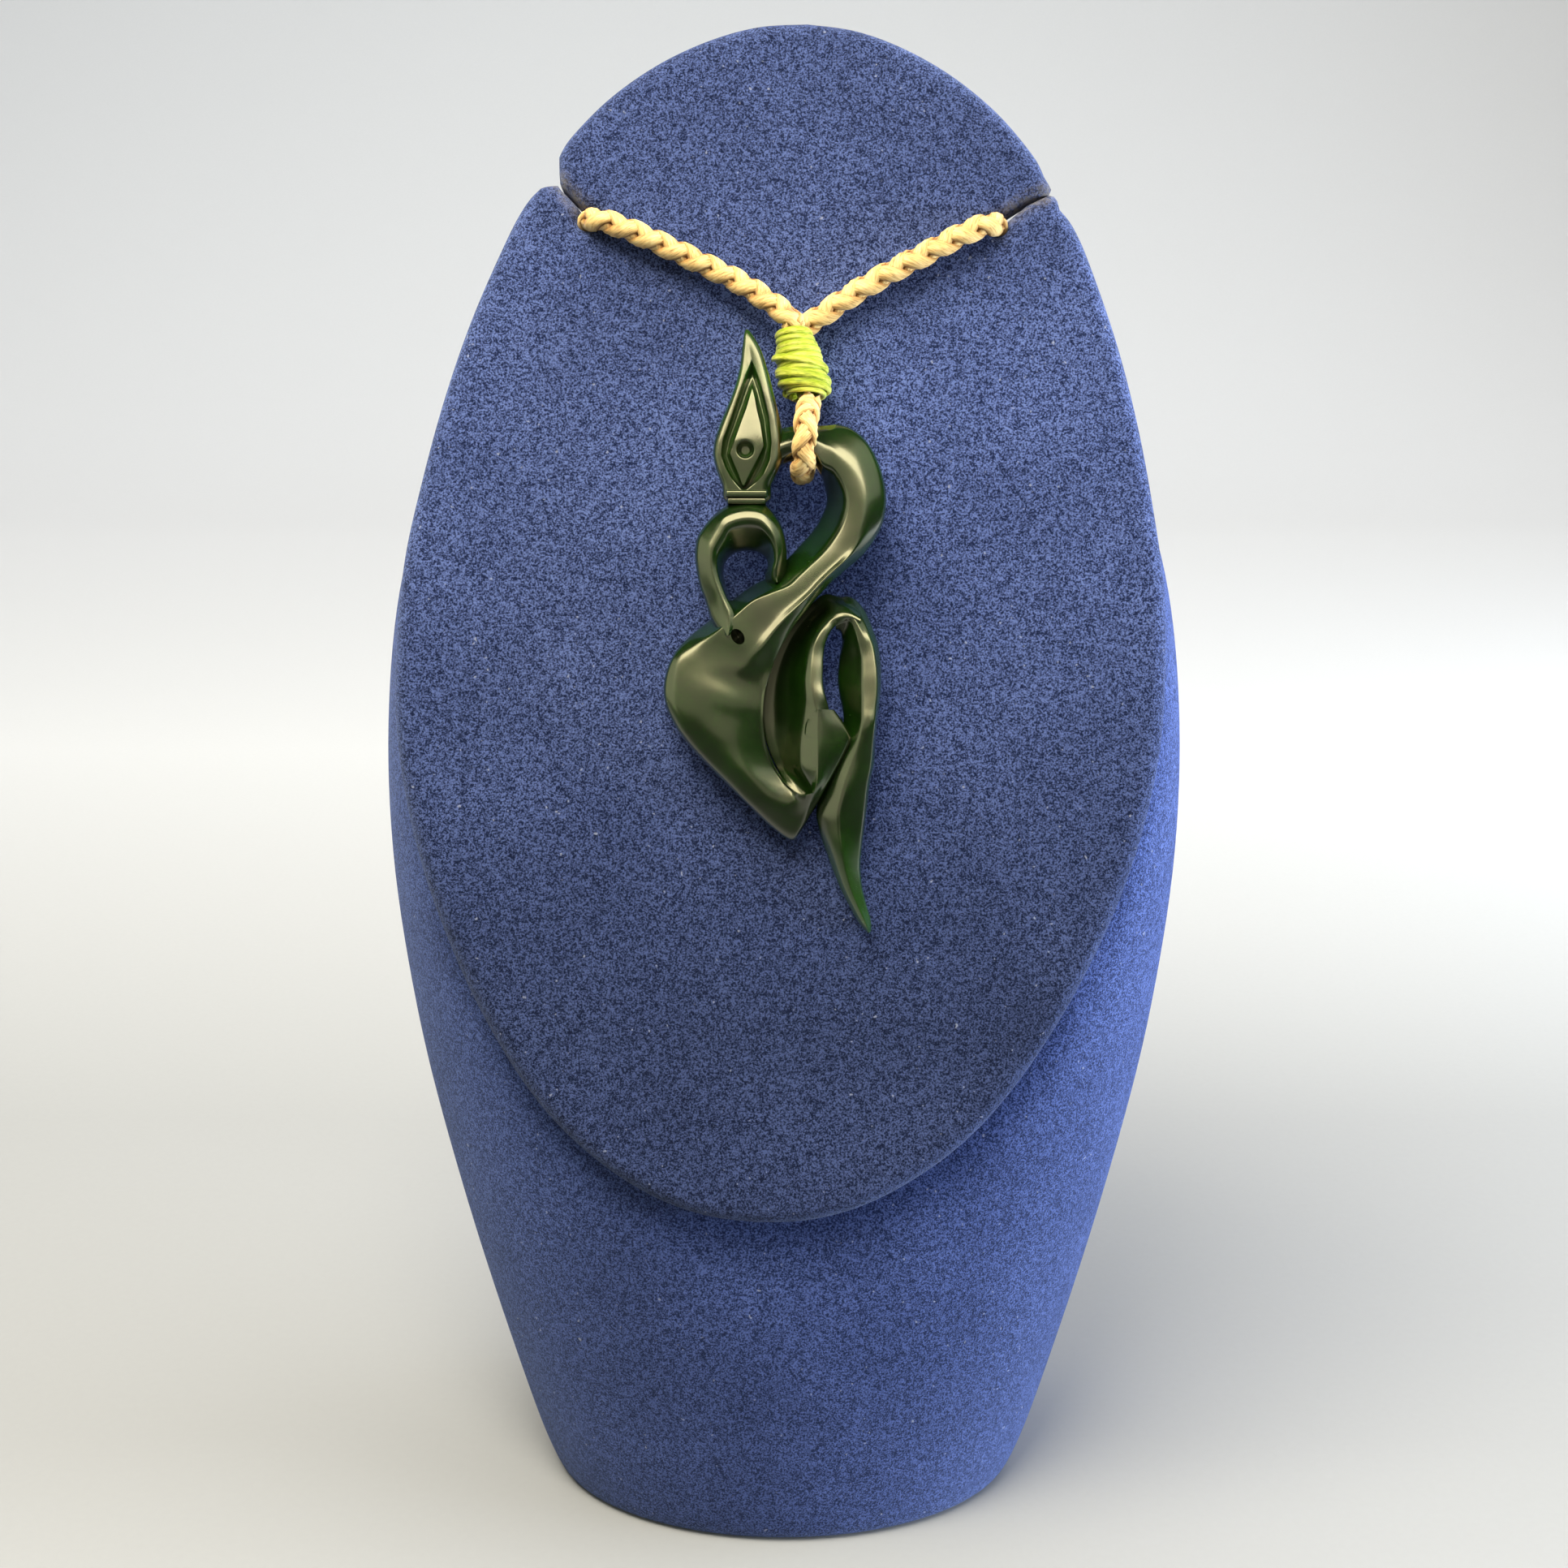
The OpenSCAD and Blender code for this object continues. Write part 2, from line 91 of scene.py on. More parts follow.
def extrude_to(bm: Mesh, ring: Verts, places: Iterable[Vector]) -> Verts:
    """Extrude a closed ring of edges and move the new ring to its places.

    Args:
        bm: The mesh being built.
        ring: The open ring's vertices, in order.
        places: Where each vertex of the new ring goes.

    Returns:
        The new ring's vertices, in the same order.
    """
    count = len(ring)
    edges = [bm.edges.get((ring[i], ring[(i + 1) % count])) for i in range(count)]
    made = bmesh.ops.extrude_edge_only(bm, edges=edges)["geom"]
    new = {v for v in made if isinstance(v, bmesh.types.BMVert)}
    after = [next(e.other_vert(v) for e in v.link_edges if e.other_vert(v) in new) for v in ring]
    for vert, place in zip(after, places):
        vert.co = place
    return after


def first_ring(bm: Mesh, places: Sequence[Vector]) -> Verts:
    """Make a closed ring of edges.

    Args:
        bm: The mesh being built.
        places: Where its vertices go, in order.

    Returns:
        The ring's vertices, in the same order.
    """
    ring = bmesh.ops.create_circle(bm, segments=len(places), radius=1.0)["verts"]
    for vert, place in zip(ring, places):
        vert.co = place
    return ring


def loft(bm: Mesh, rings: Sequence[Sequence[Vector]]) -> list[Verts]:
    """Skin closed rings into a solid.

    Args:
        bm: The mesh being built.
        rings: The places of each ring's points. All have the same number of them.

    Returns:
        The vertices of each ring.
    """
    made = [first_ring(bm, rings[0])]
    for places in rings[1:]:
        made.append(extrude_to(bm, made[-1], places))
    for end in (made[0], made[-1]):
        bm.faces.new(end)
    bmesh.ops.recalc_face_normals(bm, faces=bm.faces[:])
    return made


def curve(near: Sequence[float | Vector], t: float) -> float | Vector:
    """A value on a smooth curve between the middle two of four.

    Args:
        near: The four values. The outer two only bend the curve.
        t: Share of the way from the second to the third.

    Returns:
        The value there.
    """
    a, b, c, d = near
    bend, twist = 2 * a - 5 * b + 4 * c - d, 3 * b - a - 3 * c + d
    return 0.5 * (2 * b + (c - a) * t + bend * t * t + twist * t ** 3)


def spline(points: Sequence[Vector], step: float) -> list[Vector]:
    """Points on a smooth curve through the given ones, ends included.

    Args:
        points: The points that it goes through.
        step: About how far apart the new points are.

    Returns:
        The finer line.
    """
    fine: list[Vector] = []
    for i, (b, c) in enumerate(zip(points, points[1:])):
        near = points[max(i - 1, 0)], b, c, points[min(i + 2, len(points) - 1)]
        count = max(1, round((c - b).length / step))
        fine += [curve(near, j / count) for j in range(count)]
    return fine + [points[-1].copy()]


def travel(points: Sequence[Vector]) -> list[float]:
    """Distances along a line.

    Args:
        points: The line.

    Returns:
        How far it is along the line from its start to each point.
    """
    so_far = [0.0]
    for a, b in zip(points, points[1:]):
        so_far.append(so_far[-1] + (b - a).length)
    return so_far


def heading(points: Sequence[Vector], i: int) -> Vector:
    """The line's direction at one of its points."""
    return (points[min(i + 1, len(points) - 1)] - points[max(i - 1, 0)]).normalized()


def frames_along(points: Sequence[Vector], side: Vector) -> list[tuple[Vector, Vector]]:
    """Two directions square to the line at each point, turned with it without twisting.

    Args:
        points: The line.
        side: About where the first direction points at the start.

    Returns:
        A (side, other) pair for each point.
    """
    pairs = []
    for i in range(len(points)):
        ahead = heading(points, i)
        side = (side - ahead * side.dot(ahead)).normalized()
        pairs.append((side.copy(), ahead.cross(side)))
    return pairs


def sweep(
    bm: Mesh,
    line: Sequence[Vector],
    wide: float,
    high: float,
    pairs: Sequence[tuple[Vector, Vector]],
    sides: int = 8,
    tone: float = 0.0,
) -> None:
    """Sweep an oval section along a line. Its UV map has u in millimetres along it, and v goes once round.

    Each sweep is made on its own and then added, which keeps long cords quick to build.

    Args:
        bm: The mesh being built.
        line: The section's middle points.
        wide: Half width of the section.
        high: Half height of the section.
        pairs: Directions of the section's width and height at each point.
        sides: Points round the section.
        tone: Kept in the map as whole turns of v, so that a material can tell strands apart.
    """
    part = bmesh.new()
    uv = part.loops.layers.uv.new("UVMap")
    reach = travel(line)
    bearings = [TURN * k / sides for k in range(sides)]
    rings = [
        [middle + a * (wide * math.cos(w)) + b * (high * math.sin(w)) for w in bearings]
        for (a, b), middle in zip(pairs, line)
    ]
    where = {v: (i, k) for i, ring in enumerate(loft(part, rings)) for k, v in enumerate(ring)}
    for face in part.faces:
        spots = [where[loop.vert] for loop in face.loops]
        wraps = {0, sides - 1} <= {k for _, k in spots}
        for loop, (i, k) in zip(face.loops, spots):
            turn = (sides if wraps and k == 0 else k) / sides
            loop[uv].uv = (reach[i], turn + tone)
    mesh = bpy.data.meshes.new("strand")
    part.to_mesh(mesh)
    part.free()
    bm.from_mesh(mesh)
    bpy.data.meshes.remove(mesh)


def squared(line: Sequence[Vector], outward: Sequence[Vector]) -> list[tuple[Vector, Vector]]:
    """Section directions along a strand.

    Args:
        line: The strand's middle line.
        outward: The direction out from its cord's middle at each point.

    Returns:
        For each point, the direction across the strand, and the outward one made square to it.
    """
    pairs = []
    for i, out in enumerate(outward):
        ahead = heading(line, i)
        out = (out - ahead * out.dot(ahead)).normalized()
        pairs.append((ahead.cross(out), out))
    return pairs


def rounded(points: Sequence[Vector], softness: Sequence[float], steps: int = 4) -> list[Vector]:
    """A line through the points whose corners are rounded.

    Args:
        points: The line's corners, ends included.
        softness: For each inner corner, the share of its two sides that its curve takes, from 0 to 1.
        steps: Straight pieces in each rounded corner.

    Returns:
        The finer line.
    """
    fine = [points[0]]
    for before, corner, after, soft in zip(points, points[1:], points[2:], softness):
        a, b = corner.lerp(before, soft / 2), corner.lerp(after, soft / 2)
        shares = [k / steps for k in range(steps + 1)]
        fine += [a.lerp(corner, t).lerp(corner.lerp(b, t), t) for t in shares]
    return fine + [points[-1]]


def eased(rows: Sequence[Sequence[float]], steps: int, closed: bool = False) -> list[list[float]]:
    """Rows of numbers with others put smoothly between them.

    Args:
        rows: Rows with the same count of numbers.
        steps: Rows that each given one becomes.
        closed: Whether the last row leads on to the first.

    Returns:
        The finer rows.
    """
    count = len(rows)
    fine = []
    for i in range(count if closed else count - 1):
        near = [rows[j % count if closed else min(max(j, 0), count - 1)] for j in range(i - 1, i + 3)]
        fine += [[curve(values, k / steps) for values in zip(*near)] for k in range(steps)]
    return fine if closed else fine + [list(rows[-1])]


def baked(name: str, bm: Mesh, levels: int) -> Object:
    """An object from a mesh whose subdivision is already applied, linked to the scene.

    Args:
        name: The object's name.
        bm: The mesh, which is freed.
        levels: Levels of Catmull-Clark subdivision.

    Returns:
        The new object.
    """
    mesh = bpy.data.meshes.new(name)
    bm.to_mesh(mesh)
    bm.free()
    obj = bpy.data.objects.new(name, mesh)
    bpy.context.scene.collection.objects.link(obj)
    if levels:
        subdivide = obj.modifiers.new("subdivide", "SUBSURF")
        subdivide.levels = subdivide.render_levels = levels
        apply_modifiers(obj)
    return obj


def apply_modifiers(obj: Object) -> None:
    """Put the result of an object's modifiers into its mesh.

    Args:
        obj: The object, which has none of them afterwards.
    """
    bpy.context.view_layer.update()
    made = bpy.data.meshes.new_from_object(obj.evaluated_get(bpy.context.evaluated_depsgraph_get()))
    obj.modifiers.clear()
    old, obj.data = obj.data, made
    bpy.data.meshes.remove(old)


def finish_piece(
    obj: Object,
    material: Material,
    nodes: Sequence[str] = (),
    place: Matrix | None = None,
    sharp_above: float = 180.0,
) -> Object:
    """Place, shade, dress and hand over one finished piece.

    Args:
        obj: The piece, at the origin.
        material: Its finish.
        nodes: CAD nodes that it stands for.
        place: Takes its mesh to metres in the model's frame.
        sharp_above: Angle in degrees from which an edge stays sharp.

    Returns:
        The same object.
    """
    if place is not None:
        obj.data.transform(place)
    obj.data.shade_smooth()
    if sharp_above < 180:
        obj.data.set_sharp_from_angle(angle=math.radians(sharp_above))
    obj.data.materials.clear()
    obj.data.materials.append(material)
    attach(obj, "root")
    if nodes:
        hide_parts(*nodes)
    log.info("%s: %d faces, stands for %s", obj.name, len(obj.data.polygons), ", ".join(nodes) or "nothing")
    return obj


# Finishes


class Graph:
    """A material's node tree with short calls to add and link nodes."""

    def __init__(self, name: str) -> None:
        """Start an empty node material.

        Args:
            name: The material's name.
        """
        self.material = bpy.data.materials.new(name)
        self.material.use_nodes = True
        self.tree = self.material.node_tree
        self.tree.nodes.clear()
        self.output = self.tree.nodes.new("ShaderNodeOutputMaterial")

    def add(self, kind: str, settings: dict | None = None, **inputs: object) -> bpy.types.Node:
        """Add a node.

        Args:
            kind: The node's type without its ShaderNode prefix.
            settings: Values of the node's own properties.
            **inputs: Values or sockets for its inputs, with _ for a space in the name.

        Returns:
            The node.
        """
        node = self.tree.nodes.new("ShaderNode" + kind)
        for key, value in (settings or {}).items():
            setattr(node, key, value)
        for key, value in inputs.items():
            spot = node.inputs[int(key[1:])] if key[1:].isdigit() else node.inputs[key.replace("_", " ")]
            if isinstance(value, Socket):
                self.tree.links.new(value, spot)
            else:
                spot.default_value = value
        return node

    def noise(self, where: Socket, scale: float, detail: float = 2.0, rough: float = 0.5) -> Socket:
        """A noise field's value, with the scale in features per metre or per unit of the map."""
        made = self.add("TexNoise", Vector=where, Scale=scale, Detail=detail, Roughness=rough)
        return made.outputs["Fac"]

    def ramp(self, factor: Socket, stops: Sequence[tuple[float, Point]]) -> Socket:
        """A colour ramp.

        Args:
            factor: Where on the ramp to look.
            stops: Places from 0 to 1, each with its colour.

        Returns:
            The colour.
        """
        node = self.add("ValToRGB", Fac=factor)
        band = node.color_ramp.elements
        while len(band) < len(stops):
            band.new(0.5)
        for element, (place, colour) in zip(band, stops):
            element.position = place
            element.color = (*colour, 1.0)
        return node.outputs["Color"]

    def greys(self, factor: Socket, stops: Sequence[tuple[float, float]]) -> Socket:
        """A ramp through greys."""
        return self.ramp(factor, [(place, (grey, grey, grey)) for place, grey in stops])

    def mix(self, factor: object, a: object, b: object, blend: str = "MIX") -> Socket:
        """Mix two colours.

        Args:
            factor: Share of the second one.
            a: The first colour or its socket.
            b: The second colour or its socket.
            blend: How they are mixed.

        Returns:
            The mixed colour.
        """
        node = self.add("Mix", {"data_type": "RGBA", "blend_type": blend}, _0=factor)
        for index, value in ((6, a), (7, b)):
            if isinstance(value, Socket):
                self.tree.links.new(value, node.inputs[index])
            else:
                node.inputs[index].default_value = (*value, 1.0)
        return node.outputs[2]

    def math(self, what: str, a: object, b: object = 0.0, clamp: bool = False) -> Socket:
        """A sum on one or two values."""
        return self.add("Math", {"operation": what, "use_clamp": clamp}, _0=a, _1=b).outputs[0]

    def blend(self, a: Socket, share: float, b: Socket, other: float) -> Socket:
        """Two values, each times its share, added up."""
        return self.math("ADD", self.math("MULTIPLY", a, share), self.math("MULTIPLY", b, other))

    def bump(self, height: Socket, strength: float, depth: float) -> Socket:
        """A bumped normal, with the depth in metres."""
        return self.add("Bump", Height=height, Strength=strength, Distance=depth).outputs["Normal"]

    def finish(self, shader: Socket) -> Material:
        """Connect the shader and return the material."""
        self.tree.links.new(shader, self.output.inputs["Surface"])
        return self.material


@dataclass(frozen=True)
class VelvetFinish:
    """Short pile velvet: speckled pile, soft patches where the pile lies another way, painted light and shade
    that make it brighter or darker by height, and a pale edge glow.
    """

    name: str
    deep: Colour
    pale: Colour
    pile_per_m: float = 4100.0
    patches_per_m: float = 55.0
    lint_per_m: float = 1300.0
    # where the ramp from deep to pale starts, has its middle, and ends
    speck_stops: tuple = (0.445, 0.513, 0.58)
    lint: Colour = (0.4, 0.42, 0.52)
    worn: Colour = (0.17, 0.15, 0.13)
    sheen: tuple = (0.45, 0.55, 0.9, 1.0)
    # height in metres, and the brightness of the painted light and shade there, which stands for how the
    # light falls: brightest across the upper face, darker lower down
    painted_shade_by_height: tuple = (
        (0.02, 0.66), (0.045, 0.6), (0.07, 0.5), (0.088, 0.64), (0.105, 0.8), (0.145, 1.13), (0.172, 0.85),
    )
    ramp_height: float = 0.2

    def build(self) -> Material:
        """Make the material.

        Returns:
            The material.
        """
        g = Graph(self.name)
        where = g.add("TexCoord").outputs["Object"]
        pile = g.noise(where, self.pile_per_m, 3.0, 0.75)
        tufts = g.noise(where, self.pile_per_m * 0.3, 2.0, 0.6)
        speck = g.blend(pile, 0.8, tufts, 0.2)
        middle = tuple((a + b) / 2 for a, b in zip(self.deep, self.pale))
        colour = g.ramp(speck, list(zip(self.speck_stops, (self.deep, middle, self.pale))))
        patch = g.noise(where, self.patches_per_m, 3.0, 0.55)
        shade = g.ramp(patch, [(0.3, (0.82, 0.82, 0.84)), (0.7, (1.14, 1.12, 1.1))])
        colour = g.mix(1.0, colour, shade, "MULTIPLY")
        height = g.math("DIVIDE", g.add("SeparateXYZ", Vector=where).outputs["Z"], self.ramp_height)
        # painted light and shade: base colour made brighter or darker by height, standing for the fall of the
        # light
        painted_height_shade = g.greys(height, [(z / self.ramp_height, light) for z, light in self.painted_shade_by_height])
        colour = g.mix(1.0, colour, painted_height_shade, "MULTIPLY")
        fluff = g.greys(g.noise(where, self.lint_per_m, 1.0, 0.5), [(0.755, 0.0), (0.79, 1.0)])
        colour = g.mix(g.math("MULTIPLY", fluff, 0.5), colour, self.lint)
        rubbed = g.add("Attribute", {"attribute_name": "worn"}).outputs["Fac"]
        rubbed = g.math("MULTIPLY", rubbed, g.greys(tufts, [(0.4, 0.2), (0.6, 1.0)]), clamp=True)
        colour = g.mix(rubbed, colour, self.worn)
        shader = g.add(
            "BsdfPrincipled",
            Base_Color=colour,
            Roughness=0.92,
            Specular_IOR_Level=0.12,
            Sheen_Weight=0.35,
            Sheen_Roughness=0.45,
            Sheen_Tint=self.sheen,
            Normal=g.bump(speck, 0.9, 0.00028),
        )
        return g.finish(shader.outputs["BSDF"])


@dataclass(frozen=True)
class StrandFinish:
    """Waxed yarn: fine fibres along the strand, painted shade on the sides of each strand where strands press
    together with its outward face lightest, and a dull waxed shine.
    """

    name: str
    shade: Colour
    body: Colour
    light: Colour
    # colour of the painted shade where strands press together
    pressed: Colour = (0.42, 0.3, 0.2)
    fibres: float = 26.0
    roughness: float = 0.62

    def build(self) -> Material:
        """Make the material. Its map has u in millimetres along the strand and v once round it.

        Returns:
            The material.
        """
        g = Graph(self.name)
        uv = g.add("UVMap", {"uv_map": "UVMap"}).outputs["UV"]
        along = g.add("Mapping", Vector=uv, Rotation=(0.0, 0.0, 0.06), Scale=(0.9, self.fibres, 1.0))
        fibre = g.noise(along.outputs["Vector"], 1.0, 3.0, 0.6)
        where = g.add("TexCoord").outputs["Object"]
        patch = g.noise(where, 420.0, 2.0, 0.5)
        fuzz = g.noise(where, 5200.0, 2.0, 0.6)
        tone = g.blend(fibre, 0.7, patch, 0.3)
        colour = g.ramp(tone, [(0.34, self.shade), (0.5, self.body), (0.66, self.light)])
        # painted shade round each strand: darkest at its sides, lightest on its outward face
        turn = g.math("FRACT", g.add("SeparateXYZ", Vector=uv).outputs["Y"])
        flank_shade = (0.8, 0.76, 0.7)
        painted_crease_shade = [
            (0.0, self.pressed), (0.1, flank_shade), (0.25, (1.0, 1.0, 1.0)), (0.4, flank_shade), (0.5, self.pressed),
            (0.95, self.pressed),
        ]
        colour = g.mix(1.0, colour, g.ramp(turn, painted_crease_shade), "MULTIPLY")
        height = g.blend(fibre, 0.8, fuzz, 0.2)
        shader = g.add(
            "BsdfPrincipled",
            Base_Color=colour,
            Roughness=self.roughness,
            Specular_IOR_Level=0.35,
            Sheen_Weight=0.15,
            Sheen_Roughness=0.4,
            Subsurface_Weight=0.12,
            Subsurface_Radius=(0.6, 0.4, 0.2),
            Subsurface_Scale=0.0006,
            Normal=g.bump(height, 0.7, 0.00012),
        )
        return g.finish(shader.outputs["BSDF"])


@dataclass(frozen=True)
class JadeFinish:
    """Polished green stone: cloudy deep green, with a painted glow of paler green where light would come
    through its thin tips and in the head's groove, under a hard clear polish.
    """

    name: str = "polished_jade"
    deep: Colour = (0.0014, 0.009, 0.0004)
    cloud: Colour = (0.0042, 0.022, 0.0008)
    # colour of the painted glow that stands for light through the stone
    painted_glow: Colour = (0.016, 0.07, 0.004)
    roughness: float = 0.24

    def build(self) -> Material:
        """Make the material. The attribute painted_glow says where painted light stands for light through the
        stone.

        Returns:
            The material.
        """
        g = Graph(self.name)
        where = g.add("TexCoord").outputs["Object"]
        clouds = g.noise(where, 170.0, 4.0, 0.6)
        flecks = g.noise(where, 1500.0, 3.0, 0.7)
        colour = g.ramp(clouds, [(0.32, self.deep), (0.66, self.cloud)])
        # painted light: paler green where the mask puts light through the stone and in the groove
        painted_glow = g.add("Attribute", {"attribute_name": "painted_glow"}).outputs["Fac"]
        colour = g.mix(painted_glow, colour, self.painted_glow)
        fleck = g.ramp(flecks, [(0.35, (0.6, 0.6, 0.55)), (0.7, (1.3, 1.3, 1.2))])
        colour = g.mix(0.5, colour, fleck, "MULTIPLY")
        waves = g.noise(where, 260.0, 1.0, 0.4)
        grain = g.noise(where, 2600.0, 2.0, 0.6)
        height = g.blend(waves, 0.85, grain, 0.005)
        wear = g.noise(where, 700.0, 3.0, 0.6)
        polish = g.math("ADD", g.math("MULTIPLY", wear, 0.1), self.roughness - 0.04)
        shader = g.add(
            "BsdfPrincipled",
            Base_Color=colour,
            Roughness=polish,
            IOR=1.62,
            Specular_IOR_Level=1.0,
            Specular_Tint=(1.0, 0.95, 0.78, 1.0),
            Subsurface_Weight=0.12,
            Subsurface_Radius=(0.35, 1.0, 0.25),
            Subsurface_Scale=0.0012,
            Coat_Weight=0.6,
            Coat_Roughness=0.13,
            Normal=g.bump(height, 0.25, 0.00025),
        )
        return g.finish(shader.outputs["BSDF"])


@dataclass(frozen=True)
class PaperFinish:
    """Smooth pale studio paper, with painted light and shade by place: darker in front of the bust, near it
    and to its sides, paler behind it.
    """

    name: str = "studio_paper"
    # distance behind the bust in metres, and the paper's grey there for lighting and reflections: painted
    # shade, darkest in front of the bust
    painted_shade_by_depth: tuple = (
        (-0.3, 0.03), (-0.16, 0.06), (-0.05, 0.27), (0.1, 0.35), (0.35, 0.65), (0.7, 0.72), (1.3, 0.68),
    )
    # the same for what the eye sees of it directly, also painted shade, darker near the bust than behind it
    painted_seen_shade: tuple = (
        (-0.5, 0.5), (-0.1, 0.4), (0.0, 0.33), (0.1, 0.35), (0.35, 0.65), (0.7, 0.72), (1.3, 0.68),
    )
    # distance to either side, and how much of its grey it keeps there: painted shade towards the sides
    reach: tuple = ((0.55, 1.0), (1.0, 0.3))

    def by_distance(self, g: Graph, distance: Socket, stops: Sequence[tuple[float, float]]) -> Socket:
        """Greys by a distance from -0.5 to 1.5 metres, which the ramp needs as 0 to 1."""
        share = g.math("ADD", g.math("DIVIDE", distance, 2.0), 0.25)
        return g.greys(share, [(metres / 2 + 0.25, grey) for metres, grey in stops])

    def build(self) -> Material:
        """Make the material.

        Returns:
            The material.
        """
        g = Graph(self.name)
        where = g.add("TexCoord").outputs["Object"]
        tooth = g.greys(g.noise(where, 900.0, 2.0, 0.5), [(0.3, 0.985), (0.7, 1.0)])
        place = g.add("SeparateXYZ", Vector=where).outputs
        # painted light and shade by place: one grey for lighting and reflections, another for what the eye
        # sees
        painted_side_shade = self.by_distance(g, g.math("ABSOLUTE", place["X"]), self.reach)
        shade = g.mix(1.0, self.by_distance(g, place["Y"], self.painted_shade_by_depth), painted_side_shade, "MULTIPLY")
        seen = g.add("LightPath").outputs["Is Camera Ray"]
        shade = g.mix(seen, shade, self.by_distance(g, place["Y"], self.painted_seen_shade))
        tint = g.mix(1.0, shade, tooth, "MULTIPLY")
        shader = g.add("BsdfPrincipled", Base_Color=tint, Roughness=0.9, Specular_IOR_Level=0.1)
        return g.finish(shader.outputs["BSDF"])


# Sub-assemblies


@dataclass
class Studio:
    """Camera, soft lights and a pale sheet of paper that curves up behind the bust."""

    eye_distance: float = 0.26
    lens_mm: float = 48.447
    sensor_mm: float = 36.0
    ambient: Colour = (0.96, 0.98, 1.0)
    ambient_strength: float = 0.02
    backdrop_strength: float = 0.78
    # name, place, aimed at, size x, size y, watts, colour, does it show in polish, does it light cloth
    lights: tuple = (
        ("strip", (-0.03, -0.28, 0.395), (0, -0.02, 0.115), 0.55, 0.13, 1.75, (1, 0.91, 0.6), True, False),
        ("key", (-0.11, -0.17, 0.5), (0, -0.02, 0.11), 0.34, 0.2, 3.7, (1, 0.94, 0.78), False, True),
        ("front_card", (-0.28, -1, 0.42), (-0.28, 0, 0.11), 1.4, 0.65, 1.5, (0.95, 0.92, 0.66), True, False),
        ("left_card", (-0.8, -0.35, 0.3), (0, 0, 0.1), 0.8, 0.7, 1.7, (0.95, 1, 0.66), True, True),
        ("upper_card", (0.57, -0.48, 0.62), (0, 0, 0.12), 0.95, 0.58, 1.4, (0.9, 1, 0.76), True, False),
        ("front_fill", (0.1, -0.9, 0.5), (0, 0, 0.1), 0.8, 0.6, 1.4, (0.8, 0.9, 1), False, True),
        ("right_fill", (0.6, 0, 0.08), (0, 0, 0.075), 0.5, 0.14, 10.5, (0.79, 0.89, 1), False, True),
        ("ceiling", (0, 0.4, 2.1), (0, 0.3, 0), 2.4, 2.4, 56, (1, 1, 1), False, True),
        ("top_card", (0, 0.4, 2.1), (0, 0.3, 0), 2.4, 2.4, 17, (0.88, 1, 0.76), True, False),
    )

    def build(self) -> None:
        """Make the camera, the lights, the world and the paper."""
        self.camera()
        for light in self.lights:
            self.light(*light)
        self.world()
        self.paper()

    def camera(self) -> None:
        """Look square at the leaning face from close by."""
        data = bpy.data.cameras.new("camera")
        data.lens = self.lens_mm
        data.sensor_width = data.sensor_height = self.sensor_mm
        data.sensor_fit = "HORIZONTAL"
        data.clip_start = 0.01
        camera = bpy.data.objects.new("camera", data)
        bpy.context.scene.collection.objects.link(camera)
        out = Vector((0.0, -math.cos(FACE_LEAN), math.sin(FACE_LEAN)))
        camera.location = FACE_ORIGIN * MM + out * self.eye_distance
        camera.rotation_euler = (math.pi / 2 - FACE_LEAN, 0.0, 0.0)
        bpy.context.scene.camera = camera

    def light(
        self, name: str, place: Point, aim: Point, wide: float, high: float, watts: float, colour: Point,
        in_polish: bool, on_cloth: bool,
    ) -> None:
        """Add one soft rectangular light.

        Args:
            name: The light's name.
            place: Where it is.
            aim: What it points at.
            wide: Its width.
            high: Its height.
            watts: Its power.
            colour: Its colour.
            in_polish: Whether polished surfaces reflect it.
            on_cloth: Whether it lights cloth, cord and paper.
        """
        data = bpy.data.lights.new(name, "AREA")
        data.shape = "RECTANGLE"
        data.size, data.size_y = wide, high
        data.energy = watts
        data.color = colour
        lamp = bpy.data.objects.new(name, data)
        bpy.context.scene.collection.objects.link(lamp)
        lamp.location = place
        lamp.visible_glossy, lamp.visible_diffuse = in_polish, on_cloth
        lamp.rotation_euler = (Vector(aim) - Vector(place)).to_track_quat("-Z", "Y").to_euler()

    def world(self) -> None:
        """Surroundings that are pale to the eye and nearly dark in polish, with colours shown as they are."""
        world = bpy.data.worlds.new("surroundings")
        world.use_nodes = True
        nodes, links = world.node_tree.nodes, world.node_tree.links
        seen = nodes.new("ShaderNodeLightPath").outputs["Is Camera Ray"]
        strength = nodes.new("ShaderNodeMapRange")
        strength.inputs["To Min"].default_value = self.ambient_strength
        strength.inputs["To Max"].default_value = self.backdrop_strength
        links.new(seen, strength.inputs["Value"])
        background = nodes["Background"]
        background.inputs["Color"].default_value = (*self.ambient, 1.0)
        links.new(strength.outputs["Result"], background.inputs["Strength"])
        bpy.context.scene.world = world
        bpy.context.scene.view_settings.view_transform = "Standard"

    def paper(self) -> None:
        """One sheet that lies under the bust and curves up behind it."""
        half, front, back, radius, top, steps = 2.2, -1.6, 0.75, 0.5, 2.2, 12
        bm = bmesh.new()
        profile = [Vector((-half, front, 0)), Vector((-half, back, 0))]
        for i in range(1, steps + 1):
            a = math.pi / 2 * i / steps
            profile.append(Vector((-half, back + radius * math.sin(a), radius * (1 - math.cos(a)))))
        profile.append(Vector((-half, back + radius, top)))
        verts = [bm.verts.new(p) for p in profile]
        edges = [bm.edges.new(pair) for pair in zip(verts, verts[1:])]
        made = bmesh.ops.extrude_edge_only(bm, edges=edges)["geom"]
        far = [v for v in made if isinstance(v, bmesh.types.BMVert)]
        bmesh.ops.translate(bm, verts=far, vec=(2 * half, 0, 0))
        bmesh.ops.recalc_face_normals(bm, faces=bm.faces[:])
        sheet = baked("paper_sweep", bm, 0)
        sheet.data.shade_smooth()
        sheet.data.materials.append(PaperFinish().build())


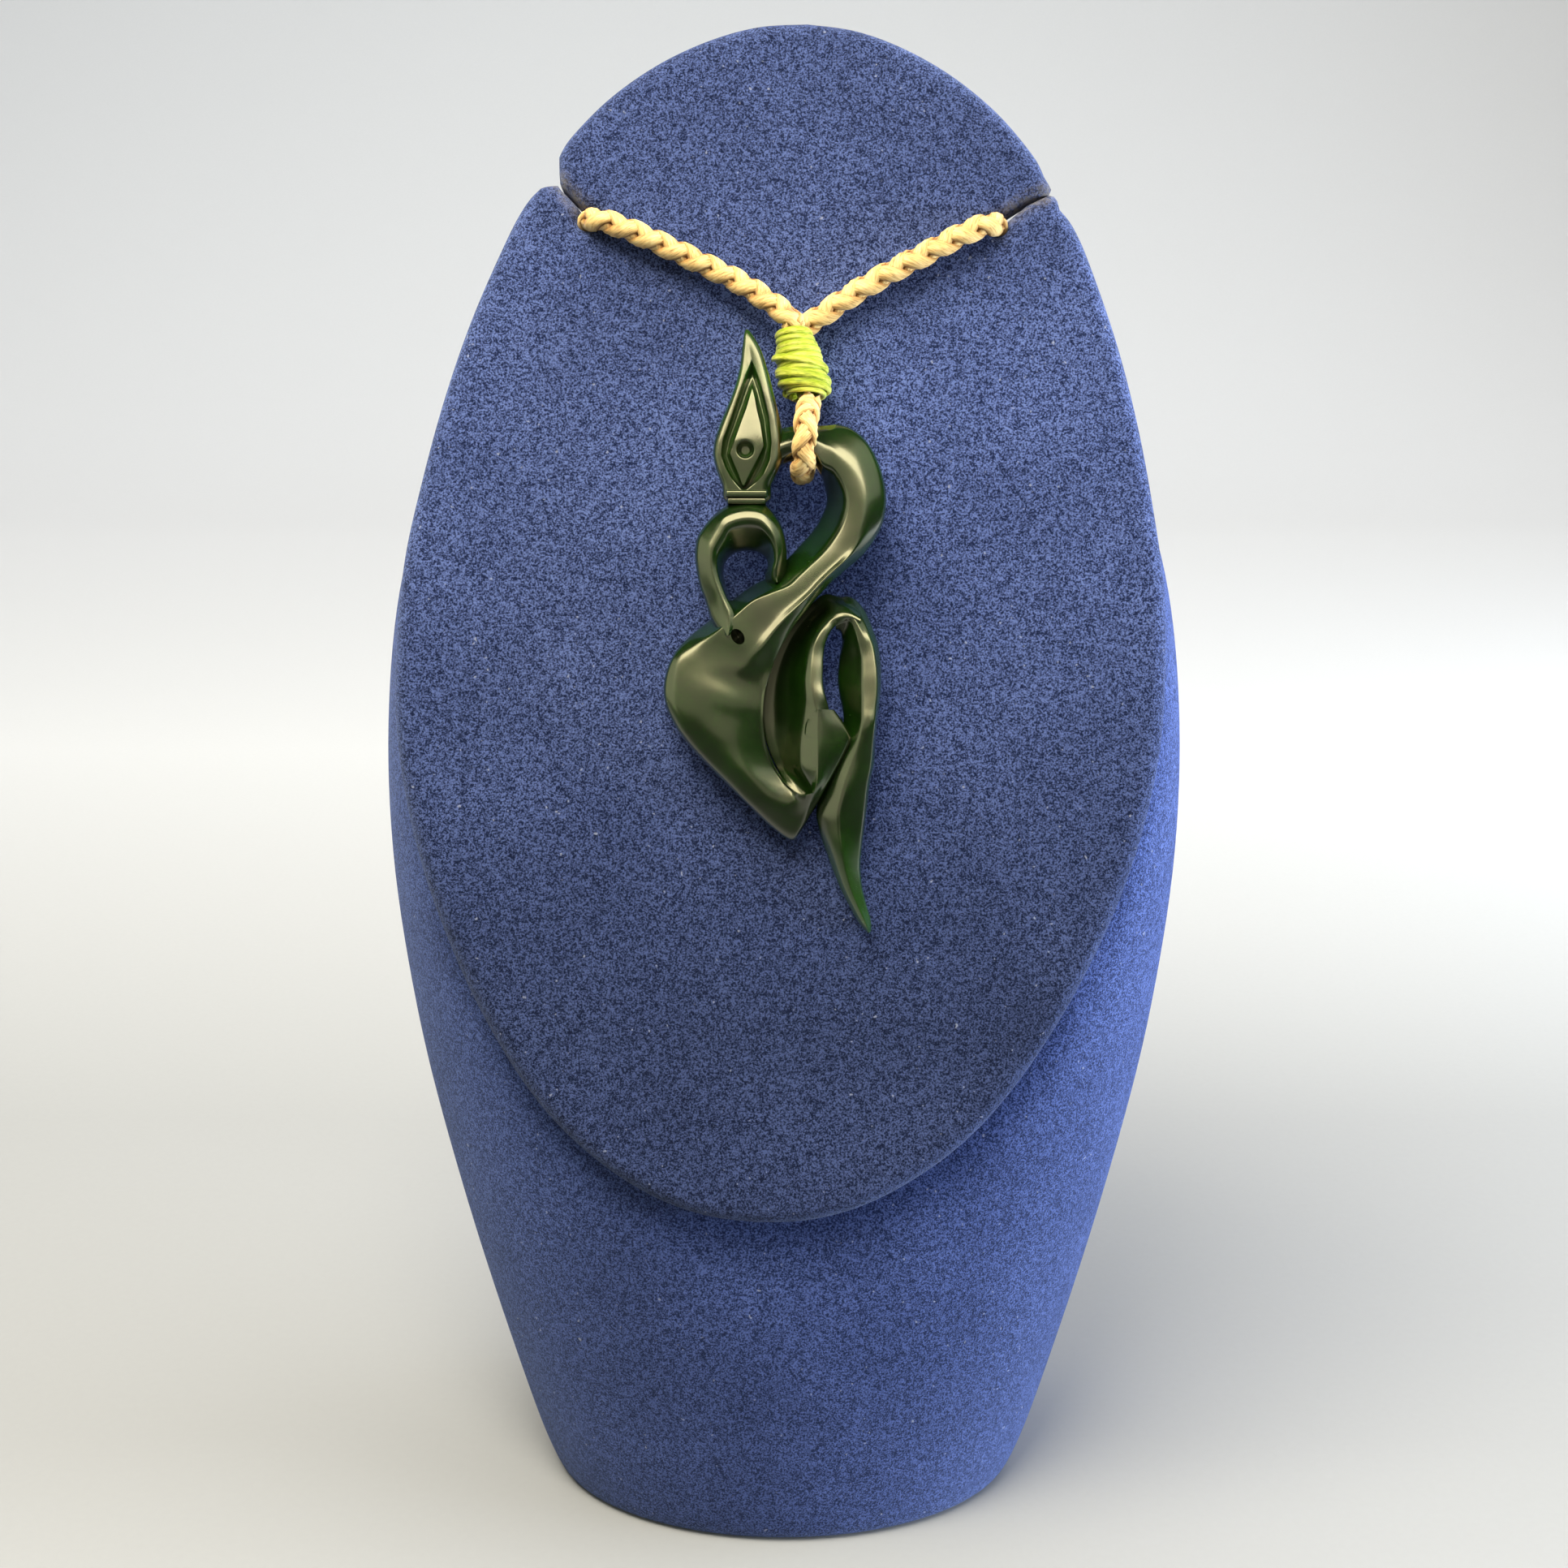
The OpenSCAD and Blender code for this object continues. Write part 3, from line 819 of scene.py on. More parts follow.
@dataclass
class Outline:
    """A closed flat line, anticlockwise, which knows how far inside it a point is."""

    line: list[Vector]

    def __post_init__(self) -> None:
        """Index the line's points, so that the nearest are found quickly."""
        self.tree = kdtree.KDTree(len(self.line))
        for i, a in enumerate(self.line):
            self.tree.insert((a.x, a.y, 0), i)
        self.tree.balance()

    def inward(self) -> list[Vector]:
        """Find the way in.

        Returns:
            The direction into the shape at each point of the line.
        """
        made = []
        for before, after in zip(self.line[-1:] + self.line[:-1], self.line[1:] + self.line[:1]):
            along = (after - before).normalized()
            made.append(Vector((-along.y, along.x)))
        return made

    def depth_of(self, p: Vector) -> float:
        """Measure how far inside the line a point is.

        Args:
            p: The point.

        Returns:
            Its distance from the line, or 0 outside it.
        """
        best, inside, line = 1e9, 1.0, self.line
        for _, i, _ in self.tree.find_n((p.x, p.y, 0), 3):
            for a, b in ((line[i - 1], line[i]), (line[i], line[(i + 1) % len(line)])):
                t = max(0.0, min(1.0, (p - a).dot(b - a) / max((b - a).length_squared, 1e-12)))
                away = (p - a.lerp(b, t)).length
                if away < best - 1e-9:
                    best, inside = away, (b - a).x * (p - a).y - (b - a).y * (p - a).x
        return best if inside > 0 else 0.0


@dataclass
class NeckBust:
    """The velvet covered body and its padded, leaning face with a slit on each side of the neck."""

    body_sides: int = 64
    face_thick: float = 4.0
    behind_face: float = 0.35
    # height, half width, middle in Y, front in Y
    rows: tuple = (
        (0.25, 29.2, -3, -21.8), (0, 30.2, -3, -22.8), (0.3, 31.2, -3, -23.7), (1.5, 32, -3, -24.4),
        (6, 33.8, -2.8, -24.8), (12, 35.6, -2.6, -25), (24, 39.2, -1.4, -25), (36, 42.6, 0, -24.6),
        (48, 45.6, 1.2, -24), (60, 48.3, 2.4, -23.6), (72, 50.2, 3.8, -23.2), (84, 51.6, 5, -23),
        (96, 52, 6.4, -22), (106, 51.6, 7.6, -21), (116, 50.6, 8.8, -19.6), (125, 48.8, 10, -17.4),
        (133, 46, 11.4, -13), (140, 42.2, 12.8, -8), (147, 36.8, 14.2, -3), (153, 30.6, 15.6, 2),
        (158, 25.2, 17, 6), (163, 21.6, 18, 9), (170, 20, 19, 12), (178, 18.2, 20, 15),
        (184, 14.6, 21.4, 18), (187, 9.4, 22.4, 20),
    )
    # height over the middle, half width, from the chin up to the shoulder's peak
    lower_face: tuple = (
        (-66.5, 0), (-66, 6), (-64.2, 12.2), (-61, 18.2), (-56.4, 24.2), (-51, 29.2), (-44, 34),
        (-36, 38.4), (-26, 42.7), (-16, 45.7), (-6, 47.4), (4, 47.7), (14, 47.1), (24, 45.3), (34, 43),
        (44, 40), (54, 36.1), (58.4, 33.9), (60.4, 32.2),
    )
    # the same for the neck piece, from its lower corner up
    neck_face: tuple = ((64.4, 30.1), (67, 28.6), (72, 24), (76.4, 18.2), (79.6, 12), (81.5, 6), (82.1, 0))
    # Each slit on the face itself: lower lip from the mouth in, the cord's hole with the two bearings that it
    # is drawn between, upper lip out again
    left_lower_lip: tuple = ((-29.5, 74), (-28.05, 74.2), (-27.6, 73.58), (-26.42, 72.37), (-25.5, 71.38))
    left_hole: tuple = ((-24.3, 69.7), 120, -233)
    left_upper_lip: tuple = ((-25.3, 71.5), (-26.3, 72.5), (-27.45, 73.7), (-27.75, 74.4), (-27.85, 75.6))
    right_lower_lip: tuple = (
        (33.9, 72.2), (33.5, 72.85), (32.92, 72.97), (31.94, 72.56), (30.08, 71.66), (28.3, 70.2),
    )
    right_hole: tuple = ((26.4, 69.1), 20, -312)
    right_upper_lip: tuple = ((28.1, 70.6), (30, 71.8), (31.9, 72.65), (32.9, 73.1), (33.15, 73.7))
    hole_radius: float = 1.25
    # How the face rounds over at its edge: width and drop of the rounding, and how far the pile stands back
    edge_wide: float = 1.9
    edge_drop: float = 1.7
    set_back: float = 0.06
    padding_waves: float = 0.12
    # Mesh of the face: spacing along its outline, lines that follow it inside, spacing of the points within
    spacing: float = 0.6
    insets: tuple = (0.07, 0.22, 0.45, 0.75, 1.15, 1.65, 2.3)
    grid: float = 2.4
    # How the cloth turns in at the back edge: height over the back, and distance in from the outline
    turned_in: tuple = ((0.5, 0.0), (0.12, 0.12), (0.0, 0.4))
    # how far from a slit's upper lip the pile is rubbed, and how far down the edge
    rubbed: float = 1.7
    rubbed_down_to: float = -1.9
    # Both velvets carry painted light and shade by height; the body's is darker towards the bottom.
    body_velvet: VelvetFinish = VelvetFinish(
        "body_velvet", (0.01, 0.018, 0.07), (0.107, 0.158, 0.425),
        painted_shade_by_height=((0.02, 0.72), (0.05, 0.84), (0.09, 1.04)),
    )
    face_velvet: VelvetFinish = VelvetFinish("face_velvet", (0.0055, 0.01, 0.043), (0.12, 0.166, 0.385))

    def build(self) -> None:
        """Make both pieces."""
        self.body()
        self.face()

    def body(self) -> None:
        """Skin the D-shaped sections, smoothed."""
        bm = bmesh.new()
        loft(bm, [self.section(*row) for row in self.rows])
        body = baked("bust_body_velvet", bm, 2)
        finish_piece(body, self.body_velvet.build(), ["bust_body"], MILLIMETRES)

    def section(self, z: float, half: float, middle: float, front: float) -> Ring:
        """One level section, cut off behind the leaning face.

        Args:
            z: Its height.
            half: Half its width.
            middle: Where in Y it is widest.
            front: How far forward it goes.

        Returns:
            Its points.
        """
        face = FACE_ORIGIN.y + (z - FACE_ORIGIN.z) * math.tan(FACE_LEAN)
        stop = face + self.face_thick / math.cos(FACE_LEAN) + self.behind_face
        middle = max(middle, stop + 1)
        ring = []
        for i in range(self.body_sides):
            bearing = TURN * i / self.body_sides
            c, s = math.cos(bearing), math.sin(bearing)
            if s > 0:
                x = half * math.copysign(abs(c) ** 0.5, c)
                y = middle + (BACK_Y - middle) * s ** 0.5
            else:
                x, y = half * c, middle + (middle - front) * s
            ring.append(Vector((x, max(y, stop), z)))
        return ring

    def turned(self, rows: Sequence[Point], side: int) -> list[Vector]:
        """A smooth line through part of the face's own outline, turned as the face was glued.

        Args:
            rows: Heights over the face's middle, each with the half width there.
            side: 1 on the right and -1 on the left.

        Returns:
            The line's points.
        """
        turn = Matrix.Rotation(-FACE_TURN, 2)
        corners = [FACE_MIDDLE + turn @ Vector((side * half, height)) for height, half in rows]
        return spline(corners, self.spacing)

    def hole(self, middle: Point, start: float, end: float) -> list[Vector]:
        """Points round the inner end of a slit.

        Args:
            middle: The cord's place in it.
            start: The bearing in degrees where they start.
            end: The bearing in degrees where they end.

        Returns:
            The points.
        """
        count = 14
        bearings = [math.radians(start + (end - start) * i / count) for i in range(count + 1)]
        return [Vector(middle) + self.hole_radius * Vector((math.cos(a), math.sin(a))) for a in bearings]

    def outline(self) -> Outline:
        """Draw the face's outline.

        Returns:
            The outline, anticlockwise from the chin, with points close together.
        """
        corners = self.turned(self.lower_face, 1)
        corners += [Vector(p) for p in self.right_lower_lip] + self.hole(*self.right_hole)
        corners += [Vector(p) for p in self.right_upper_lip]
        corners += self.turned(self.neck_face, 1) + self.turned(self.neck_face, -1)[-2::-1]
        corners += [Vector(p) for p in self.left_upper_lip[::-1]] + self.hole(*self.left_hole)
        corners += [Vector(p) for p in self.left_lower_lip[::-1]] + self.turned(self.lower_face, -1)[:0:-1]
        line = []
        for a, b in zip(corners, corners[1:] + corners[:1]):
            count = max(1, round((b - a).length / self.spacing))
            line += [a.lerp(b, k / count) for k in range(count)]
        return Outline(line)

    def spots(self, outline: Outline) -> list[Vector]:
        """Choose the vertices of the face's front.

        Args:
            outline: The face's outline.

        Returns:
            Points on the outline, along it inside, and on a plain grid within.
        """
        spots = list(outline.line)
        for inset in self.insets:
            for a, n in zip(outline.line, outline.inward()):
                p = a + n * inset
                if outline.depth_of(p) > inset * 0.96:
                    spots.append(p)
        left, low, size = -55, -60, 160
        for i in range(int(size / self.grid)):
            for j in range(int(size / self.grid)):
                p = Vector((left + self.grid * (j + i % 2 / 2), low + self.grid * i))
                if outline.depth_of(p) > self.insets[-1] + 1:
                    spots.append(p)
        return spots

    def face(self) -> None:
        """Cut the board, with its cloth rounding over padding at every edge."""
        outline = self.outline()
        count = len(outline.line)
        loop = [(i, (i + 1) % count) for i in range(count)]
        verts, _, faces, origin, _, _ = geometry.delaunay_2d_cdt(
            self.spots(outline), loop, [list(range(count))], 1, 1e-5
        )
        bm = bmesh.new()
        made = []
        for p in verts:
            share = max(0.0, 1 - outline.depth_of(p) / self.edge_wide)
            soft = self.padding_waves * noise.noise(Vector((p.x, p.y, 0)) * 0.09) * (1 - share)
            drop = self.edge_drop * (1 - math.sqrt(1 - share * share))
            made.append(bm.verts.new((p.x, p.y, soft - self.set_back - drop)))
        for face in faces:
            bm.faces.new([made[i] for i in face])
        at = {o: made[i] for i, origins in enumerate(origin) for o in origins}
        ring = [at[i] for i in range(count)]
        for up, tuck in self.turned_in:
            rim = [p + n * tuck for p, n in zip(outline.line, outline.inward())]
            ring = extrude_to(bm, ring, [Vector((*p, up - self.face_thick)) for p in rim])
        bm.faces.new(ring)
        bmesh.ops.recalc_face_normals(bm, faces=bm.faces[:])
        pad = baked("face_panel_pad", bm, 0)
        self.mark_worn(pad)
        finish_piece(pad, self.face_velvet.build(), ["face_panel"], FACE)

    def mark_worn(self, pad: Object) -> None:
        """Say where cords have rubbed the pile: along the neck's edge of both slits.

        Args:
            pad: The face, which gets the attribute worn.
        """
        rubs = []
        for lip in (self.left_upper_lip[:-1], self.right_upper_lip):
            for a, b in zip(lip, lip[1:]):
                rubs += [Vector(a).lerp(Vector(b), k / 4) for k in range(5)]
        values = []
        for vert in pad.data.vertices:
            best = min((vert.co.xy - rub).length for rub in rubs)
            values.append(max(0.0, 1 - best / self.rubbed) if vert.co.z > self.rubbed_down_to else 0.0)
        pad.data.attributes.new("worn", "FLOAT", "POINT").data.foreach_set("value", values)


@dataclass
class NeckCord:
    """One plaited cord: knot, up the back, through a slit, to the binding, round the pendant, and back."""

    diameter: float = 3.2
    pitch: float = 6.7
    strand_wide: float = 1.0
    strand_high: float = 0.58
    ring_radius: float = 0.77
    weave: float = 0.2
    step: float = 0.5
    cotton: StrandFinish = StrandFinish(
        "plaited_cotton", (0.4, 0.2, 0.065), (0.94, 0.61, 0.23), (1.0, 0.78, 0.37)
    )
    # For the left, the right and the loop: share of a turn by which the pattern is moved along, and angle by
    # which the middle of the chevrons is turned away from the front
    patterns: tuple = ((0.0, 0.25), (0.6, -0.25), (0.3, 0.0))
    # Stretches on the face, in its own u, v and w
    left_front: tuple = (
        (1.1, 55, 5.2), (0.7, 56.4, 5), (-1.4, 58.2, 4.1), (-4, 60.2, 3.1), (-7, 62.1, 2.3), (-11, 64.1, 2),
        (-15.6, 66.3, 2), (-19.6, 68, 2), (-22.2, 69, 1.5), (-23.8, 69.5, 0.1), (-24.2, 69.6, -2),
        (-24.2, 69.6, -4.2),
    )
    right_front: tuple = (
        (2.2, 55.8, 1.9), (3.7, 56.7, 1.9), (6, 58.3, 1.9), (9, 60.3, 1.9), (13, 62.6, 2), (17.4, 64.9, 2),
        (21.4, 67, 2), (24.2, 68.3, 1.6), (26, 68.9, 0.2), (26.4, 69, -2), (26.4, 69, -4.2),
    )
    # Stretches behind the bust: x, distance behind the flat back, z
    left_back: tuple = (
        (-24.3, -7.5, 164.4), (-24.4, -4, 163.9), (-24.4, -0.7, 162.4), (-24.4, 1.4, 159.2),
        (-24.4, 1.9, 155), (-24.2, 1.9, 142), (-24, 1.9, 124), (-23.6, 1.9, 104), (-23, 1.9, 84),
        (-22.2, 1.9, 64), (-21, 1.9, 46), (-19.6, 2, 34), (-17, 2.2, 25), (-13.4, 2.6, 19), (-9, 3, 15.6),
        (-7, 3, 15.3), (-4.5, 3, 15.3),
    )
    right_back: tuple = (
        (26.4, -7.5, 163.6), (26.2, -4, 163.2), (26, -0.7, 162), (25.8, 1.4, 159), (25.6, 1.9, 154.6),
        (25.2, 1.9, 142), (24.8, 1.9, 124), (24.2, 1.9, 104), (23.4, 1.9, 84), (22.4, 1.9, 64),
        (21.2, 1.9, 46), (19.6, 2, 34), (17, 2.2, 25), (13.4, 2.6, 19), (9, 3, 15.6), (7, 3, 15.3),
        (4.5, 3, 15.3),
    )
    # Through the pendant's eye, on the face: down over the arch's front, through, and up behind it
    loop: tuple = (
        (2.95, 46.5, 5.1), (3, 45.9, 5.3), (2.9, 45.1, 6.3), (2.8, 44.2, 7.8), (2.6, 43, 9.2),
        (2.5, 41.4, 9.8), (2.4, 39.8, 9.4), (2.3, 38.4, 8.4), (2.2, 37.7, 6.9), (2.2, 37.5, 5.2),
        (2.3, 37.8, 3.6), (2.4, 38.8, 2.3), (2.5, 40.4, 1.7), (2.6, 42.4, 1.7), (2.8, 44.6, 1.8),
        (2.95, 46.5, 1.8),
    )

    def on_face(self, points: Iterable[Point]) -> list[Vector]:
        """Points of the face's own frame, in millimetres in the model's frame."""
        place = MILLIMETRES.inverted() @ FACE
        return [place @ Vector(p) for p in points]

    def behind(self, points: Iterable[Point]) -> list[Vector]:
        """Points given by their distance behind the body's flat back."""
        return [Vector((x, y + BACK_Y, z)) for x, y, z in points]

    def build(self, with_pieces: Sequence[Object]) -> None:
        """Args:
            with_pieces: The binding and the knot, which are on the cord. Not used.
        """
        left = self.on_face(self.left_front) + self.behind(self.left_back)
        right = self.on_face(self.right_front) + self.behind(self.right_back)
        loop = self.on_face(self.loop)
        out = Vector((0, -math.cos(FACE_LEAN), math.sin(FACE_LEAN)))
        bm = bmesh.new()
        for route, (start, facing) in zip((left, right, loop), self.patterns):
            self.plait(bm, route, out, start, facing)
        cord = baked("plaited_cord", bm, 0)
        nodes = ["cord_left", "cord_right", "pendant_loop"]
        finish_piece(cord, self.cotton.build(), nodes, MILLIMETRES)
        path = [p * MM for p in spline(left[::-1], 1.0) + spline(loop, 1.0) + spline(right, 1.0)]

    def plait(self, bm: Mesh, route: Sequence[Vector], out: Vector, start: float, facing: float) -> None:
        """Plait four strands round one route.

        Args:
            bm: The mesh being built.
            route: The stretch's middle line.
            out: Direction that the plait's front faces at the start.
            start: Share of a turn by which the pattern is moved along.
            facing: Angle by which the middle of the chevrons is turned away from out.
        """
        line = spline(route, self.step)
        pairs, reach = frames_along(line, out), travel(line)
        for way in Way:
            for half in (0, 1):
                strand, outward = [], []
                for middle, (a, b), s in zip(line, pairs, reach):
                    turn = TURN * (s / self.pitch + start)
                    column = way.value * turn + math.pi * half + math.pi / 4
                    radius = self.ring_radius + way.value * self.weave * math.sin(column)
                    angle = column + facing
                    outward.append(a * math.cos(angle) + b * math.sin(angle))
                    strand.append(middle + outward[-1] * radius)
                tone = half + (2 if way is Way.LEFT else 0)
                across = squared(strand, outward)
                sweep(bm, strand, self.strand_wide, self.strand_high, across, tone=tone)


@dataclass
class Binding:
    """Waxed thread wound round the cord above the pendant."""

    top: tuple = (1.1, 54.9, 3.5)
    foot: tuple = (2.95, 46.7, 3.45)
    thread: float = 0.38
    # the last colour is the painted shade on the sides of each turn of thread
    wax: StrandFinish = StrandFinish(
        "waxed_thread", (0.3, 0.36, 0.03), (0.78, 0.85, 0.1), (1.0, 1.0, 0.27), (0.4, 0.45, 0.16),
        fibres=14.0, roughness=0.42,
    )
    # turns, where they start and end as shares of the length, first and last dip on the left, and how far
    # out they lie over the others
    winds: tuple = (
        (11, 0.02, 0.97, (0.1, 0.45), 0.0), (2, 0.42, 0.8, (0.9, 1.1), 0.42), (2, 0.66, 0.9, (0.8, 0.6), 0.5),
    )
    # how far a turn slips along the binding and out from it by chance, and how flat the thread is pressed
    slips: tuple = (-0.13, 0.13)
    swells: tuple = (-0.1, 0.14)
    pressed: tuple = (0.92, 1.3)
    dice: random.Random = field(default_factory=lambda: random.Random(7))
    # share of the length, half width, half depth of the bundle under the thread
    core: tuple = (
        (0, 1.5, 2.7), (0.12, 1.78, 2.75), (0.3, 2.05, 2.8), (0.55, 2.2, 2.8), (0.75, 2.1, 2.75),
        (0.9, 1.75, 2.65), (1, 1.4, 2.6),
    )

    def build(self) -> Object:
        """Wind the thread.

        Returns:
            The binding.
        """
        bm = bmesh.new()
        for turns, start, end, lean, lift in self.winds:
            self.wind(bm, turns, start, end, lean, lift)
        binding = baked("thread_binding", bm, 0)
        return finish_piece(binding, self.wax.build(), ["whipping"], FACE)

    def wind(self, bm: Mesh, turns: int, start: float, end: float, lean: Point, lift: float) -> None:
        """Wind some turns.

        Args:
            bm: The mesh being built.
            turns: How many.
            start: Share of the length where they start.
            end: Share of the length where they end.
            lean: How far the first and the last turn dip on the left, in millimetres.
            lift: How far out they lie over the others.
        """
        top, foot = Vector(self.top), Vector(self.foot)
        axis = (foot - top).normalized()
        across = Vector((0, 0, 1)).cross(axis).normalized() * -1
        length, steps, line = (foot - top).length, 28, []
        slip = [self.dice.uniform(*self.slips) for _ in range(turns + 2)]
        swell = [self.dice.uniform(*self.swells) for _ in range(turns + 2)]
        for i in range(turns * steps + 1):
            k, f = i // steps, i % steps / steps
            share = start + (end - start) * i / steps / turns
            wide, deep = self.at(share)
            puff = lift + swell[k] + (swell[k + 1] - swell[k]) * f
            angle = TURN * i / steps
            dip = lean[0] + (lean[1] - lean[0]) * (i / steps / turns) ** 2
            along = length * share - dip * math.cos(angle) + slip[k] + (slip[k + 1] - slip[k]) * f
            x = (wide + self.thread * 0.8 + puff) * math.cos(angle)
            z = (deep + self.thread * 0.6 + puff * 0.6) * math.sin(angle)
            line.append(top + axis * along + across * x + Vector((0, 0, z)))
        wide, high = (self.thread * share for share in self.pressed)
        sweep(bm, line, wide, high, frames_along(line, Vector((0, 0, 1))))

    def at(self, share: float) -> tuple[float, float]:
        """Measure the bundle under the thread.

        Args:
            share: Share of the length.

        Returns:
            Half its width and half its depth there.
        """
        share = min(max(share, 0.0), 1.0)
        for (s0, w0, d0), (s1, w1, d1) in zip(self.core, self.core[1:]):
            if share <= s1:
                f = (share - s0) / (s1 - s0)
                return w0 + (w1 - w0) * f, d0 + (d1 - d0) * f
        return self.core[-1][1], self.core[-1][2]


@dataclass
class ClosingKnot:
    """The wound knot behind the bust where the cord's two runs meet."""

    middle: tuple = (0.0, 28.0, 15.3)
    length: float = 9.0
    strand: float = 0.8
    turns: int = 6
    radius: float = 1.85
    cotton: StrandFinish = StrandFinish(
        "knot_cotton", (0.34, 0.19, 0.06), (0.68, 0.48, 0.19), (0.84, 0.7, 0.36)
    )

    def build(self) -> Object:
        """Wind the knot.

        Returns:
            The knot.
        """
        bm = bmesh.new()
        steps = 26
        reach = self.length - 2 * self.strand
        line = []
        for i in range(self.turns * steps + 1):
            turn = i / steps
            x = -reach / 2 + reach * turn / self.turns
            a = TURN * turn
            out = Vector((x, self.radius * math.cos(a), self.radius * math.sin(a)))
            line.append(Vector(self.middle) + out)
        sweep(bm, line, self.strand, self.strand, frames_along(line, Vector((1, 0, 0))), sides=10)
        knot = baked("closing_knot", bm, 0)
        return finish_piece(knot, self.cotton.build(), ["cord_knot"], MILLIMETRES)


@dataclass
class Ribbon:
    """A carved band: rows along it, and the profile that each row takes across it.

    A row is the outer edge's u and v, the inner edge's u and v, and its place in the list of profiles.
    A profile is the outer edge's height, then the place, height and softness of four lines between the edges,
    and the inner edge's height.
    """

    name: str
    rows: tuple
    profiles: tuple
    edges: tuple[float, float] = (0.5, 0.5)
    steps: int = 5

    def numbers(self, row: Point) -> list[float]:
        """Look up a row's profile.

        Args:
            row: One of the band's rows.

        Returns:
            The row's two edges followed by its own profile.
        """
        low = min(int(row[4]), len(self.profiles) - 2)
        f = row[4] - low
        return [*row[:4], *(a + (b - a) * f for a, b in zip(self.profiles[low], self.profiles[low + 1]))]

    def ring(self, values: Sequence[float]) -> Ring:
        """Draw one row's section.

        Args:
            values: The row's two edges and its profile.

        Returns:
            Points from the outer edge's foot over the top to the inner edge's foot.
        """
        pu, pv, qu, qv, first, *inner, last = values
        points = ((0, 0), (0, first), *zip(inner[::3], inner[1::3]), (1, last), (1, 0))
        corners = [Vector((pu + (qu - pu) * t, pv + (qv - pv) * t, max(z, 0.0))) for t, z in points]
        return rounded(corners, (self.edges[0], *inner[2::3], self.edges[1]))

    def build(self) -> Object:
        """Skin the rows, with others put smoothly between them.

        Returns:
            The band.
        """
        bm = bmesh.new()
        rows = eased([self.numbers(row) for row in self.rows], self.steps)
        loft(bm, [self.ring(values) for values in rows])
        return baked(self.name, bm, 0)


